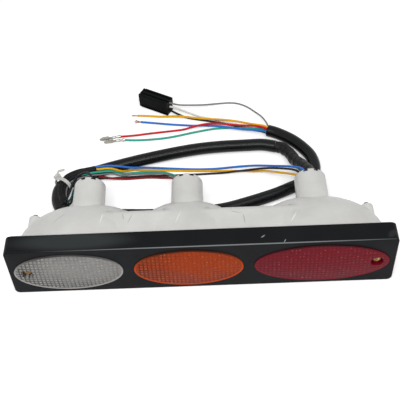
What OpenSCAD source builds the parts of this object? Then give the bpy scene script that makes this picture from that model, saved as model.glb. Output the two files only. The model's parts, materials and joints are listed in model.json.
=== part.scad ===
// Rear combination lamp of a forklift truck: three oval lenses in one black
// bezel, a white moulded rear housing with three bowls, bulbs and sockets in
// its necks, and a sheathed wiring harness laid out on the table behind it.
// Millimetres. X runs along the lamp, Y to the back, Z up. The origin is at
// the bottom, midway between the bezel's face and the ends of the necks.

/* [Bezel] */
// Length of the bezel
bezel_w = 350; // [320:1:390]
// Height of the bezel
bezel_h = 61; // [60:1:75]
// Depth of the bezel from its face to its back rim
bezel_d = 19; // [18:0.5:24]
// Thickness of the side walls
bezel_wall = 2.5; // [2:0.1:3]
// Thickness of the face round the lenses
bezel_face = 3; // [2.5:0.1:4]
// Radius of the four long corners
corner_r = 5; // [3:0.5:8]
// Radius of the edge round the face
edge_r = 1.5; // [0.8:0.1:2.2]

/* [Lenses] */
// Height of each oval lens
lens_h = 51; // [46:0.5:52]
// Length of the clear lens
clear_w = 99; // [90:1:110]
// Length of the amber lens
amber_w = 99; // [90:1:110]
// Distance between neighbouring lenses
lens_gap = 10; // [8:0.5:12]
// Distance from the bezel's left end to the clear lens
lens_margin = 5; // [5:0.25:6]
// Distance from the red lens to the bezel's right end
red_margin = 6; // [5:0.25:7]
// Width of the plain rim round the prisms
lens_rim = 2; // [1.5:0.25:3]
// How far the lens rim stands out of the face
lens_proud = 0.8; // [0.3:0.1:2]
// Rise of the crown above the lens rim
lens_crown = 2.2; // [1:0.1:4]
// Thickness of the lens flange behind the face
lens_flange = 2; // [1.5:0.1:3]
// Width of the lens flange outside the opening
lens_lip = 1.8; // [1:0.1:2]
// Clearance round a lens in its opening
lens_fit = 0.25; // [0.1:0.05:0.5]
// Clearance above and below a lens flange in the bezel
flange_fit = 0.2; // [0.1:0.05:0.4]
// Spacing of the prisms on the back of a lens
prism_pitch = 3.7; // [3.2:0.1:6]
// Depth of the grooves between the prisms
prism_depth = 1; // [0.5:0.1:1.4]

/* [Rear housing] */
// Wall thickness of the housing
wall = 2.2; // [1.8:0.1:2.6]
// Gap between the housing and the bezel's walls
skirt_fit = 0.5; // [0.3:0.1:1]
// How far the back plate stands out behind the bezel
plate_out = 3; // [2:0.5:5]
// Thickness of the back plate
plate_t = 2.5; // [2:0.1:3]
// Depth of the bowls behind the back plate
bowl_d = 53.5; // [50:0.5:56]
// Height of the bowls
bowl_h = 52; // [50:0.5:54]
// Half length of the two outer bowls
outer_bowl_r = 64; // [62:1:68]
// Half length of the middle bowl
middle_bowl_r = 54; // [52:1:58]
// Distance of the outer necks from the bezel's ends
outer_neck_x = 67; // [63:1:71]
// Distance of the middle neck from the middle of the lamp, to the left
middle_neck_x = 12.5; // [10:0.5:15]
// Fullness of the bowls' ends, where 2 is an ellipse
bowl_full = 2.2; // [2:0.1:2.6]
// Depth of the webs between the bowls
web_d = 34; // [28:1:38]
// Height of the webs
web_h = 43; // [38:1:46]
// Radius of the webs' back edges
web_r = 9; // [5:1:12]

/* [Necks] */
// Length of a neck beyond its bowl
neck_l = 26.5; // [22:0.5:32]
// Outside diameter of a neck at its root
neck_root_d = 32; // [31:0.5:33]
// Outside diameter of a neck at its end
neck_end_d = 30.6; // [30:0.2:32]
// Bore of a neck
neck_bore_d = 26.6; // [26.4:0.1:27.4]
// Width of the two notches in a neck's end
notch_w = 4.5; // [3:0.5:6]
// Depth of the two notches
notch_d = 2.5; // [1.5:0.5:4]

/* [Bulbs and sockets] */
// Diameter of a bulb's glass
glass_d = 25; // [22:0.5:25]
// Length of a bulb's glass
glass_l = 36; // [33:0.5:38]
// Diameter of a bulb's bayonet cap
cap_d = 15; // [14.5:0.1:15.5]
// Length of a bulb's bayonet cap
cap_l = 16; // [14:0.5:18]
// Wall of the brass socket
socket_wall = 1; // [0.8:0.1:1.4]
// Length of the brass socket
socket_l = 24; // [22:0.5:27]
// Clearance of the cap in its socket
cap_fit = 0.2; // [0.1:0.05:0.4]
// Length of the rubber boot in a neck
boot_l = 17; // [14:0.5:20]

/* [Plug] */
// Length of the plug
plug_l = 36.5; // [30:0.5:42]
// Thickness of the plug
plug_t = 13.5; // [12:0.5:16]
// Height of the plug as it stands on its narrow side
plug_h = 18; // [17:0.5:20]
// Spacing of the plug's wires
plug_pitch = 5.5; // [5:0.1:5.8]
// Width of a terminal slot
slot_w = 3; // [2.4:0.1:3.6]
// Depth of a terminal slot
slot_depth = 24; // [16:0.5:26]
// Thickness of the terminals in the plug
tab_t = 0.8; // [0.6:0.1:1]
// Depth of the grooves along the plug
groove_d = 1.2; // [0.6:0.1:1.8]

/* [Harness] */
// Outside diameter of the sheath
sheath_d = 13; // [11:0.5:13]
// Diameter of the wires
wire_d = 2.3; // [1.8:0.1:2.3]
// Diameter of the grey wires
thin_wire_d = 1.8; // [1.4:0.1:1.8]
// Diameter of the taped bundle
tape_d = 12.4; // [11:0.2:12.6]
// Width of the cable tie's band
tie_w = 3.6; // [2.5:0.1:5]
// Thickness of the cable tie's band
tie_t = 0.9; // [0.7:0.1:1]

/* [Mounting screws] */
// Distance of the screws from the bezel's ends
screw_x = 17; // [16:0.5:19]
// Diameter of the screws' threaded ends
screw_d = 5; // [4:0.5:5.5]
// How far the screws stand out of their bosses
screw_reach = 4.5; // [4:0.5:15]
// Diameter of the screw heads
head_d = 8.4; // [8:0.2:9.5]
// Height of the screw heads
head_h = 2.6; // [2:0.1:3.2]
// Diameter of the wells in the lenses
well_d = 11.5; // [10.5:0.5:12]
// Depth of the wells below the face
well_depth = 6; // [5.5:0.25:6.5]
// Outside diameter of the screw bosses in the housing
boss_d = 11; // [9:0.5:12]
// Clearance of a screw in its holes
screw_fit = 0.25; // [0.1:0.05:0.5]

/* [Hidden] */
$fn = 64;
// Overlap that lets a cut run out of the surface that it starts from
cut = 0.5;

// Depths counted from the face of the bezel
flange_back_y = bezel_face + lens_flange;
seal_t = 2;
rim_y = flange_back_y + seal_t;
plate_back_y = bezel_d + plate_out;
plate_front_y = plate_back_y - plate_t;
apex_y = plate_back_y + bowl_d;
neck_end_y = apex_y + neck_l;
// The origin is midway between the bezel's face and the ends of the necks
front_y = -neck_end_y / 2;
mid_z = bezel_h / 2;

// The red lens takes the length that the other two leave
red_w = bezel_w - lens_margin - clear_w - amber_w - 2 * lens_gap - red_margin;
// Lens centres and lengths, from left to right
LENS_W = [clear_w, amber_w, red_w];
LENS_X = [
    -bezel_w / 2 + lens_margin + clear_w / 2,
    -bezel_w / 2 + lens_margin + clear_w + lens_gap + amber_w / 2,
    bezel_w / 2 - red_margin - red_w / 2
];
NECK_X = [-bezel_w / 2 + outer_neck_x, -middle_neck_x, bezel_w / 2 - outer_neck_x];
BOWL_R = [outer_bowl_r, middle_bowl_r, outer_bowl_r];
SCREW_X = [-bezel_w / 2 + screw_x, bezel_w / 2 - screw_x];

skirt_w = bezel_w - 2 * (bezel_wall + skirt_fit);
skirt_h = bezel_h - 2 * (bezel_wall + skirt_fit);
wire_z = wire_d / 2;

// Screw bosses: how far their feet are behind the lens flange, and how far
// their ends stand out of the bowls
boss_foot = 3;
boss_out = 0.7;
boss_y = flange_back_y + boss_foot;
boss_end_y = plate_back_y + bowl_depth((outer_neck_x - screw_x - boss_d / 2) / outer_bowl_r) + boss_out;
// Lenses: room behind the prisms, wall of the wells, and the lip that closes
// the light chambers outside the bowls
prism_room = 2.8;
well_wall = 1.5;
lip_t = 0.3;
// Screws: thickness of a washer, size of the cross recess, how much thinner
// the plain shank is than the thread, and the length of the chamfered tip
washer_t = 1;
recess_l = 4.6;
recess_w = 0.9;
recess_t = 1.5;
recess_turn = 20;
shank_less = 0.5;
tip_l = 1;
// Bulbs: diameter of a cap's pins and their distance from its front, size and
// spacing of the solder contacts, and how far the glass is thinner than the cap
pin_d = 2;
pin_z = 8;
solder_d = 3;
solder_h = 1;
contact_pitch = 5;
stem_less = 0.4;
stem_l = 4;
// Sockets: thickness of the contact disc, diameter of its contacts, the stretch
// that a boot holds, the boot's solid back and its clearance in the neck
disc_t = 2.5;
contact_d = 2.4;
seat_l = 6;
back_t = 11;
boot_fit = 0.1;
// Plug: wall beside the slots, cut corners, shoulder at the front, width of the
// two top grooves, and how far the terminals start behind the front
plug_wall = 2.5;
plug_corner = 1.4;
shoulder_l = 3;
shoulder_t = 0.8;
top_groove_w = 1.8;
tab_in = 4;
// Crimped terminals: grips round the insulation and the bare wire, then a neck
// and a flat blade with two upturned edges, along X
grip_d = 3.4;
grip_l = 3.5;
core_d = 1.6;
wire_grip_x = 5;
wire_grip_d = 2.6;
wire_grip_l = 4.5;
neck_x = wire_grip_x + wire_grip_l - 0.5;
blade_x = 13;
blade_l = 10;
blade_w = 4;
blade_t = 0.8;
rail_l = 7;
rail_w = 0.6;
rail_h = 1.2;
blade_lift = 0.6;
// Stripped wires: diameter of the bundled and of a single spread strand
bundle_d = 1.3;
strand_d = 0.7;
// Cable tie: size of its head and width of its strap's tail
TIE_HEAD = [4, 5, 5.5];
tie_head_turn = 60;
tie_tail_w = 2.4;

// Places of the plug and the crimped terminals, and their turns about Z
PLUG_AT = [-48, 196];
PLUG_TURN = -29.4;
CRIMP_RED = [-86, 150.5];
CRIMP_GREEN = [-81, 145];
CRIMP_TURN = [190, 187];

// Inner radius of the band round the sheath and the wires beside it
tie_r = 9;
// Middle of the band, on the lamp's side of the sheath and above it
TIE_AT = [-140, 74.2, 9.9];
TIE_TURN = -30;

// Points along the harness, each in the middle of its cord
SHEATH = [
    [80, 121, 6.5], [66, 124.5, 6.5], [48, 124.5, 6.5], [24, 124, 6.5], [0, 122, 6.5], [-23, 118, 6.5],
    [-47, 112.5, 6.5], [-70, 106.5, 6.5], [-93, 99.5, 6.5], [-110, 93.5, 6.5], [-126.5, 86.5, 7.6],
    [-136.5, 80, 8.3], [-143, 70.5, 8], [-144.5, 59, 7], [-141, 47.5, 6.5], [-133, 39, 6.5],
    [-122, 34.5, 6.5], [-110, 34, 6.5], [-98, 34.5, 6.5], [-80, 34, 6.5], [-51, 32.5, 6.5],
    [-20, 32, 6.5], [19, 36, 6.5], [49, 44.5, 6.5], [75, 54, 6.5], [92, 62, 6.5], [104, 67.5, 6.5],
    [113.5, 76, 6.5], [118, 88, 6.5], [116, 104, 6.5], [109, 117, 6.5], [98, 130, 6.5], [84, 140.5, 6.5],
    [74, 145.5, 6.5]
];
TAPE = [
    [111, 50.3, 28], [111, 57, 27.8], [109.5, 65, 25.5], [107, 74, 21.5], [103, 85, 16], [98, 96, 11],
    [95, 107, 8], [88, 117.5, 6.6], [80.4, 120.9, 6.5]
];
TAIL_GREY = [
    [75, 149.4, 7.3], [74, 153.5, 7.2], [72.5, 160.5, 5.5], [68, 171, 4], [60, 183.5, 1], [51, 192, 1],
    [40, 197, 1], [26, 197.5, 1], [6, 193, 4], [-10, 188, 9], [-22, 184.8, 13], [-31.7, 186.8, 14.5]
];
TAIL_WHITE = [
    [74.9, 147.8, 4.1], [69.1, 151.1, 4.1], [58, 155.5, 1.2], [37, 163.5, 1.2], [14, 172.5, 1.2],
    [1, 177, 1.2], [-13, 182.5, 3.5], [-24, 184.5, 8], [-31.7, 186.8, 9]
];
TAIL_BLACK = [
    [72.9, 144.3, 3.6], [67.1, 147.6, 3.6], [57, 153.2, 1.2], [42, 159, 1.2], [17, 167.5, 1.2],
    [-10, 175, 1.2], [-22, 180.5, 2.2], [-31.7, 186.8, 3.5]
];
TAIL_YELLOW = [
    [74.5, 147.1, 9.4], [68.7, 150.4, 9.4], [56, 157.5, 6], [45, 163, 4.2], [35, 166.2, 3.8],
    [23, 168.5, 3.8], [1, 171.5, 3.8], [-21, 176.5, 3.4], [-44, 179.5, 1.2], [-58, 181.5, 1.2],
    [-73, 183, 1.2]
];
TAIL_BLUE = [
    [71.9, 142.6, 7], [66.1, 145.8, 7], [50, 151.2, 3.8], [40, 153.5, 3.8], [30, 156, 3.8],
    [20, 158.4, 3.6], [6, 161.2, 2.4], [-10, 163.5, 1.2], [-32, 166.5, 1.2], [-49, 169.5, 1.2],
    [-72, 173.5, 1.2]
];
TAIL_RED = [
    [73.1, 144.7, 9.7], [67.3, 147.9, 9.7], [60, 152, 7.8], [50, 154.5, 6.6], [40, 156.5, 6],
    [30, 158.3, 6], [20, 159.6, 6], [10, 160.2, 6], [0, 159.5, 5], [-10, 158.4, 3], [-21, 157, 1.2],
    [-54, 153.5, 1.2], [-70, 151.5, 1.2], [-85.7, 150.5, 1.2]
];
TAIL_GREEN = [
    [73.8, 145.9, 6.3], [68, 149.1, 6.3], [59, 152, 4.2], [50, 154, 3], [40, 156.2, 1.8],
    [30, 157.2, 1.2], [20, 157, 1.2], [10, 155.8, 1.2], [-8, 152, 1.2], [-22, 148.5, 1.2],
    [-37, 145.5, 1.2], [-55, 144, 1.2], [-70, 144, 1.2], [-80.7, 145, 1.2]
];
BRANCH_BLUE = [
    [102, 50.4, 38], [101, 60, 36], [91, 72, 27], [75, 85, 15], [57, 93, 8], [38, 97.5, 2.5],
    [15, 97, 1.2], [-6, 97.5, 1.2], [-32, 100, 1.2], [-55, 101.5, 2.2], [-72, 97.5, 7.5],
    [-82.5, 96, 11.5], [-93, 95.5, 13.5], [-104.5, 94, 14.5], [-117, 91, 15], [-127, 87.5, 16],
    [-137, 80.5, 16.5], [-142, 70, 16], [-142.5, 60, 15], [-140, 52, 14.5]
];
BRANCH_YELLOW = [
    [98, 50.4, 31], [96, 57, 30], [90, 64, 25], [78, 77, 14], [66, 86, 7], [55, 91, 1.5], [36, 93, 1.2],
    [15, 94, 1.2], [-6, 95, 1.2], [-32, 97, 1.2], [-55, 99, 1.2], [-72.5, 99.5, 1], [-82, 94.5, 6],
    [-92, 93, 12], [-103.5, 91.5, 13.5], [-116, 88.5, 14.5], [-125.5, 84.5, 15.5], [-135, 78.5, 16.5],
    [-139.5, 69, 15.5], [-140, 60, 14], [-137.5, 53, 13]
];
BRANCH_GREEN = [
    [-14, 50.9, 37], [-16.5, 58, 31], [-22, 70, 20], [-29, 84, 9], [-36, 91, 4.5], [-44, 94.6, 2.5],
    [-56, 96.4, 1.2], [-78, 95, 1.2], [-91.5, 92, 9], [-103, 89.5, 11.5], [-115, 86, 13.5],
    [-124.5, 82.5, 14.5], [-133.5, 76.5, 15], [-137.5, 68.5, 13.5], [-138, 60, 12], [-136, 53.5, 10.5]
];
BRANCH_GREY = [
    [-18, 50.4, 34], [-18.5, 57, 30], [-24, 66, 22], [-28, 76, 14], [-34, 86, 7.5], [-42, 91, 4],
    [-53, 93.6, 1.2], [-70, 93.6, 1.2], [-83, 92, 2], [-91.5, 91.5, 6], [-102.5, 88, 9],
    [-114.5, 84.5, 11.5], [-123.5, 80.5, 12.5], [-132, 75.5, 13], [-136, 68, 11.5], [-136.5, 60.5, 9.5],
    [-135, 54, 8]
];
BRANCH_RED = [
    [-20, 50.4, 30], [-20, 56, 28], [-22, 64, 21], [-27, 77, 10], [-32, 84.5, 3.5], [-42, 87.2, 1.2],
    [-55, 88.2, 1.2], [-75, 87.4, 1.2], [-92, 87, 3.6], [-102.5, 87.5, 6], [-114, 83.5, 9],
    [-123, 79.5, 10], [-131, 74.5, 11], [-135.5, 67.5, 9], [-136.5, 60.5, 6.5], [-135, 54, 5.5]
];
BRANCH_BLACK = [
    [99.5, 50.4, 34.5], [98, 57, 34], [91, 66, 29.5], [71, 84, 13], [57, 88, 8], [45, 90, 4.5],
    [36, 89.6, 4], [20, 90.5, 1.2], [-6, 90, 1.2], [-32, 90, 1.2], [-53, 90.6, 1.2], [-75, 90, 1.2],
    [-92, 89.2, 1.2], [-102.5, 88.5, 2.5], [-114, 83, 6], [-123, 79, 7.5], [-131, 74, 8],
    [-135.5, 67.5, 6], [-137, 60.5, 4], [-136, 53.5, 3]
];
LEAD_BLACK = [
    [-133.3, 50, 6.5], [-130.5, 53, 7.5], [-127.3, 58.5, 11], [-122, 62, 17], [-117.2, 60.5, 23.5],
    [-114.5, 55.5, 27], [-114, 50.4, 27.5]
];
LEAD_GREEN = [
    [-133.8, 50.2, 9.6], [-130, 55, 12], [-127, 62, 16.5], [-121, 66, 22.5], [-114.5, 63, 28],
    [-111.5, 56.5, 31], [-111, 50.4, 31.5]
];
LEAD_BLUE = [
    [-135.6, 48.9, 12.2], [-131.5, 57.5, 16.5], [-127.5, 66, 22.3], [-120, 70.5, 28.3], [-111, 67.5, 34],
    [-106.5, 59, 36], [-106, 50.4, 36]
];
TIE_TAIL = [[-145, 76, 18], [-146, 78.5, 21], [-143.5, 81, 24], [-138, 82, 24.5]];

// Colours of the pieces
BLACK_PLASTIC = [0.14, 0.15, 0.16];
WHITE_PLASTIC = [0.82, 0.82, 0.8];
RUBBER = [0.1, 0.1, 0.1];
BRASS = [0.72, 0.56, 0.25];
NICKEL = [0.75, 0.74, 0.7];
BLUE = [0.12, 0.36, 0.75];
YELLOW = [0.88, 0.62, 0.08];
GREEN = [0.12, 0.58, 0.48];
RED = [0.76, 0.06, 0.1];
GREY = [0.5, 0.5, 0.5];

// Turns a shape drawn on XY and raised along Z so that it stands on XZ at
// depth y and reaches to the back
module at_depth(y) translate([0, front_y + y, mid_z]) rotate([-90, 0, 0]) children();

// Points round an oval of width w and height h
function oval_points(w, h, steps = 96) =
    [for (k = [0 : steps - 1]) let (u = 360 * k / steps) [w / 2 * cos(u), h / 2 * sin(u)]];

module oval(w, h) polygon(oval_points(w, h));

module rounded_rect(w, h, r) {
    square([w - 2 * r, h], center = true);
    square([w, h - 2 * r], center = true);
    for (x = [-1, 1], y = [-1, 1]) translate([x * (w / 2 - r), y * (h / 2 - r)]) circle(r = r);
}

// Depth of a bowl behind the back plate, at the share s of its half length
function bowl_depth(s) = bowl_d * pow(1 - pow(s, bowl_full), 1 / bowl_full);

// Ring of a bowl where the depth is the share t of the whole depth
function bowl_ring(r, half_h, depth, t, sides) =
    let (rx = r * pow(1 - pow(t, bowl_full), 1 / bowl_full), rz = half_h * sqrt(1 - t * t))
    [for (k = [0 : sides - 1]) let (u = 360 * k / sides) [rx * cos(u), depth * t, rz * sin(u)]];

// Closed solid through rings of equally many points
module loft(rings) {
    n = len(rings[0]);
    last = len(rings) - 1;
    polyhedron(
        points = [for (ring = rings) each ring],
        faces = concat(
            [[for (k = [n - 1 : -1 : 0]) k]],
            [for (j = [0 : last - 1], k = [0 : n - 1])
                [j * n + k, j * n + (k + 1) % n, (j + 1) * n + (k + 1) % n, (j + 1) * n + k]],
            [[for (k = [0 : n - 1]) last * n + k]]
        ),
        convexity = 4
    );
}

// One bowl, fuller than an ellipsoid at its ends, from the back plate backwards
module bowl(i, inset, sides, steps) {
    depth = bowl_d + cut - inset;
    translate([NECK_X[i], front_y + plate_back_y - cut, mid_z]) loft([for (j = [0 : steps])
        bowl_ring(BOWL_R[i] - inset, bowl_h / 2 - inset, depth, sin(86 * j / steps), sides)]);
}

// Rounded block between two depths, as large as the housing's skirt
module slab(y0, y1) {
    at_depth(y0) linear_extrude(y1 - y0) rounded_rect(skirt_w, skirt_h, corner_r - bezel_wall);
}

module neck(i) {
    root_y = plate_back_y + bowl_d / 2;
    at_depth(root_y) translate([NECK_X[i], 0, 0])
        cylinder(d1 = neck_root_d, d2 = neck_end_d, h = neck_end_y - root_y);
}

// Web between two bowls, with its two long back edges rounded
module web(i) {
    back = plate_back_y + web_d;
    half = web_h / 2;
    translate([NECK_X[i], front_y, mid_z]) rotate([90, 0, 90]) linear_extrude(NECK_X[i + 1] - NECK_X[i]) {
        translate([plate_front_y, -half]) square([back - web_r - plate_front_y, 2 * half]);
        translate([plate_front_y, -half + web_r]) square([back - plate_front_y, 2 * half - 2 * web_r]);
        for (s = [-1, 1]) translate([back - web_r, s * (half - web_r)]) circle(r = web_r);
    }
}

// Walls that part the light chambers, midway between neighbouring lenses
PARTING_X = [for (i = [0, 1]) LENS_X[i] + LENS_W[i] / 2 + lens_gap / 2];

module parting_walls() {
    for (x = PARTING_X) translate([x - wall / 2, front_y + plate_front_y, 0])
        cube([wall, neck_end_y - plate_front_y, bezel_h]);
}

chamber_h = lens_h - 2 * lens_rim;

module chamber_outline(i, extra) {
    translate([LENS_X[i], 0]) oval(LENS_W[i] - 2 * lens_rim + 2 * extra, chamber_h + 2 * extra);
}

module rear_housing() color(WHITE_PLASTIC) {
    difference() {
        union() {
            difference() {
                union() {
                    slab(plate_front_y, plate_back_y);
                    intersection() {
                        slab(plate_front_y, neck_end_y);
                        union() {
                            for (i = [0 : 2]) bowl(i, 0, 48, 10);
                        }
                    }
                    for (i = [0 : 2]) neck(i);
                    for (i = [0, 1]) web(i);
                    // Skirt that stands in the bezel, and the tubes round the light chambers
                    at_depth(rim_y) linear_extrude(plate_front_y - rim_y) {
                        difference() {
                            rounded_rect(skirt_w, skirt_h, corner_r - bezel_wall);
                            rounded_rect(skirt_w - 2 * wall, skirt_h - 2 * wall, corner_r - bezel_wall);
                        }
                        for (i = [0 : 2]) chamber_outline(i, wall);
                    }
                    for (x = SCREW_X) at_depth(plate_back_y) translate([x, 0, 0])
                        cylinder(d = boss_d + 1, h = boss_end_y - plate_back_y);
                }
                difference() {
                    union() {
                        for (i = [0 : 2]) bowl(i, wall, 32, 6);
                    }
                    parting_walls();
                }
                at_depth(rim_y - cut) linear_extrude(plate_back_y - lip_t - rim_y + cut)
                    for (i = [0 : 2]) chamber_outline(i, 0);
            }
            for (x = SCREW_X) at_depth(boss_y) translate([x, 0, 0])
                cylinder(d = boss_d, h = boss_end_y - boss_y);
        }
        for (x = SCREW_X) at_depth(boss_y - cut) translate([x, 0, 0])
            cylinder(d = screw_d + 2 * screw_fit, h = boss_end_y - boss_y + 2 * cut);
        for (i = [0 : 2]) at_depth(plate_back_y + bowl_d / 2) translate([NECK_X[i], 0, 0]) {
            cylinder(d = neck_bore_d, h = neck_end_y - plate_back_y - bowl_d / 2 + cut);
            for (a = [-1, 1]) rotate([0, 0, -90 + 20 * a])
                translate([0, -notch_w / 2, neck_end_y - plate_back_y - bowl_d / 2 - notch_d])
                    cube([neck_root_d, notch_w, notch_d + cut]);
        }
    }
}

// Points round a rectangle with rounded corners, standing on XZ at depth y
function frame_ring(w, h, r, y) = [
    for (c = [[1, 1], [-1, 1], [-1, -1], [1, -1]], k = [0 : 8])
        let (a = (c.x == 1 ? (c.y == 1 ? 0 : 270) : (c.y == 1 ? 90 : 180)) + 90 * k / 8)
        [c.x * (w / 2 - r) + r * cos(a), y, c.y * (h / 2 - r) + r * sin(a)]
];

// Block with rounded long corners and a rounded edge round its face
module bezel_block() {
    translate([0, front_y, mid_z]) loft(concat(
        [for (a = [0 : 15 : 90]) let (inset = edge_r * (1 - sin(a)))
            frame_ring(bezel_w - 2 * inset, bezel_h - 2 * inset, corner_r - inset, edge_r * (1 - cos(a)))],
        [frame_ring(bezel_w, bezel_h, corner_r, bezel_d)]
    ));
}

module bezel() color(BLACK_PLASTIC) {
    difference() {
        bezel_block();
        at_depth(bezel_face) linear_extrude(bezel_d - bezel_face + cut)
            rounded_rect(bezel_w - 2 * bezel_wall, bezel_h - 2 * bezel_wall, corner_r - bezel_wall);
        at_depth(-cut) linear_extrude(bezel_face + 2 * cut)
            for (i = [0 : 2]) translate([LENS_X[i], 0]) oval(LENS_W[i] + 2 * lens_fit, lens_h + 2 * lens_fit);
    }
}

// Crown of a lens, highest in the middle, on a foot that reaches into the body
module crown(w) {
    function ring(s, y) = [for (p = oval_points(w - 2 * lens_rim, chamber_h, 56)) [s * p.x, y, s * p.y]];
    translate([0, front_y - lens_proud, mid_z]) loft(concat(
        [for (s = [0.12, 0.4, 0.65, 0.85, 1]) ring(s, -lens_crown * (1 - s * s))],
        [ring(1, cut)]
    ));
}

// Rows of sharp grooves side by side, raised along Z, as wide as the span
module grooves(span, height) {
    n = floor(span / prism_pitch / 2);
    half = prism_pitch / 2 - 0.25;
    linear_extrude(height, center = true) for (k = [-n : n]) translate([k * prism_pitch, 0])
        polygon([[-half, -cut], [half, -cut], [half, 0], [0, prism_depth], [-half, 0]]);
}

// Lens with a flange behind the bezel and a grid of prisms on its back
module lens(i, well_x = undef) {
    w = LENS_W[i];
    back_y = flange_back_y - prism_room;
    difference() {
        union() {
            difference() {
                union() {
                    translate([LENS_X[i], 0, 0]) {
                        at_depth(-lens_proud) linear_extrude(flange_back_y + lens_proud) oval(w, lens_h);
                        at_depth(bezel_face) linear_extrude(lens_flange)
                            oval(w + 2 * lens_lip, skirt_h - 2 * flange_fit);
                        crown(w);
                    }
                }
                at_depth(back_y) linear_extrude(prism_room + cut)
                    chamber_outline(i, 0);
                intersection() {
                    at_depth(back_y - prism_depth - cut) linear_extrude(prism_depth + 2 * cut)
                        chamber_outline(i, 0);
                    translate([LENS_X[i], front_y + back_y, mid_z]) rotate([0, 0, 180]) union() {
                        grooves(w, lens_h);
                        rotate([0, 90, 0]) grooves(lens_h, w);
                    }
                }
            }
            if (!is_undef(well_x)) at_depth(-lens_proud) translate([well_x, 0, 0])
                cylinder(d = well_d + 2 * well_wall, h = lens_proud + flange_back_y + boss_foot);
        }
        if (!is_undef(well_x)) at_depth(-lens_proud - lens_crown - cut) translate([well_x, 0, 0]) {
            cylinder(d = well_d, h = well_depth + lens_proud + lens_crown + cut);
            cylinder(d = screw_d + 2 * screw_fit, h = 2 * bezel_d);
        }
    }
}

module lens_clear() color([0.72, 0.72, 0.7, 0.8]) lens(0, SCREW_X[0]);
module lens_amber() color([0.85, 0.32, 0.06, 0.8]) lens(1);
module lens_red() color([0.6, 0.07, 0.12, 0.8]) lens(2, SCREW_X[1]);

module lens_seal() color(RUBBER) {
    at_depth(flange_back_y) linear_extrude(seal_t) difference() {
        rounded_rect(skirt_w, skirt_h, corner_r - bezel_wall);
        for (i = [0 : 2]) chamber_outline(i, 0);
    }
}

// The washers lie on the floors of the wells, and the heads lie on them
washer_y = well_depth - washer_t;
head_y = washer_y - head_h;

// Cross-head screws with a thin shank, threaded where they stand out of their bosses
module mounting_screws() color(BRASS) {
    shank_d = screw_d - shank_less;
    thread_l = screw_reach - tip_l;
    for (x = SCREW_X) at_depth(0) translate([x, 0, 0]) difference() {
        union() {
            translate([0, 0, head_y]) cylinder(d1 = head_d - head_h / 2, d2 = head_d, h = head_h / 2);
            translate([0, 0, head_y + head_h / 2]) cylinder(d = head_d, h = head_h / 2);
            translate([0, 0, washer_y - cut]) cylinder(d = shank_d, h = boss_end_y - washer_y + 2 * cut);
            translate([0, 0, boss_end_y]) cylinder(d = screw_d, h = thread_l);
            translate([0, 0, boss_end_y + thread_l])
                cylinder(d1 = screw_d, d2 = screw_d - 1.5 * tip_l, h = tip_l);
        }
        for (a = [0, 90]) rotate([0, 0, a + recess_turn])
            translate([-recess_l / 2, -recess_w / 2, head_y - cut]) cube([recess_l, recess_w, recess_t + cut]);
    }
}

module screw_seals() color(RUBBER) {
    for (x = SCREW_X) at_depth(washer_y) translate([x, 0, 0]) difference() {
        cylinder(d = well_d - 2 * screw_fit, h = washer_t);
        translate([0, 0, -cut]) cylinder(d = screw_d + 0.1, h = washer_t + 2 * cut);
    }
}

// Depths along a bulb, its socket and the boot that holds it in the neck
boot_end_y = neck_end_y - 1;
boot_y = boot_end_y - boot_l;
socket_y = boot_y + seat_l - socket_l;
cap_y = socket_y + 0.5;
glass_y = cap_y - glass_l;

module in_neck(i, y) at_depth(y) translate([NECK_X[i], 0, 0]) children();

// Glass with a round front, narrowing to a stem that stands on the cap
module bulb_glass(i) color([0.9, 0.92, 0.92, 0.6]) {
    r = glass_d / 2;
    stem_r = cap_d / 2 - stem_less;
    in_neck(i, glass_y) rotate_extrude() union() {
        intersection() {
            translate([0, r]) circle(r = r);
            square([r, 1.35 * r]);
        }
        polygon([[0, 1.2 * r], [0.979 * r, 1.2 * r], [0.9 * r, 1.5 * r], [0.66 * r, 2.1 * r],
            [stem_r, glass_l - stem_l], [stem_r, glass_l], [0, glass_l]]);
    }
}

// Bayonet cap with its two pins and its solder contacts
module bulb_base(i, contacts) color(NICKEL) in_neck(i, cap_y) {
    cylinder(d = cap_d, h = cap_l);
    for (a = [0, 180]) rotate([0, 0, a]) translate([cap_d / 2 - 1, 0, pin_z]) rotate([0, 90, 0])
        cylinder(d = pin_d, h = 2, $fn = 24);
    contact_places(contacts) translate([0, 0, cap_l]) cylinder(d = solder_d, h = solder_h);
}

module contact_places(contacts) {
    for (k = [0 : contacts - 1]) translate([contacts == 1 ? 0 : contact_pitch * (k - 0.5), 0, 0]) children();
}

// Brass socket with two slots for the pins and an open back
module socket(i) color(BRASS) in_neck(i, socket_y) {
    inner = cap_d / 2 + cap_fit;
    difference() {
        cylinder(r = inner + socket_wall, h = socket_l);
        translate([0, 0, -cut]) cylinder(r = inner, h = socket_l + 2 * cut);
        for (a = [0, 180]) rotate([0, 0, a]) translate([0, -pin_d / 2 - 0.2, -cut])
            cube([2 * inner, pin_d + 0.4, pin_z + 1.5 + cut]);
    }
}

// Insulating disc in the socket, with its contacts standing out of both faces
module contact_disc(i, contacts) color([0.45, 0.3, 0.18]) in_neck(i, cap_y + cap_l + solder_h) {
    reach = boot_end_y - back_t - cap_y - cap_l - solder_h;
    translate([0, 0, reach - disc_t]) cylinder(r = cap_d / 2 + cap_fit / 2, h = disc_t);
    contact_places(contacts) cylinder(d = contact_d, h = reach);
}

// Rubber boot, bored from the front for the socket
module boot(i) color(RUBBER) in_neck(i, boot_y) {
    difference() {
        cylinder(d = neck_bore_d - 2 * boot_fit, h = boot_l);
        translate([0, 0, -cut]) cylinder(r = cap_d / 2 + cap_fit + socket_wall, h = seat_l + cut);
        cylinder(r = cap_d / 2 + cap_fit, h = boot_l - back_t);
    }
}

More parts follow.
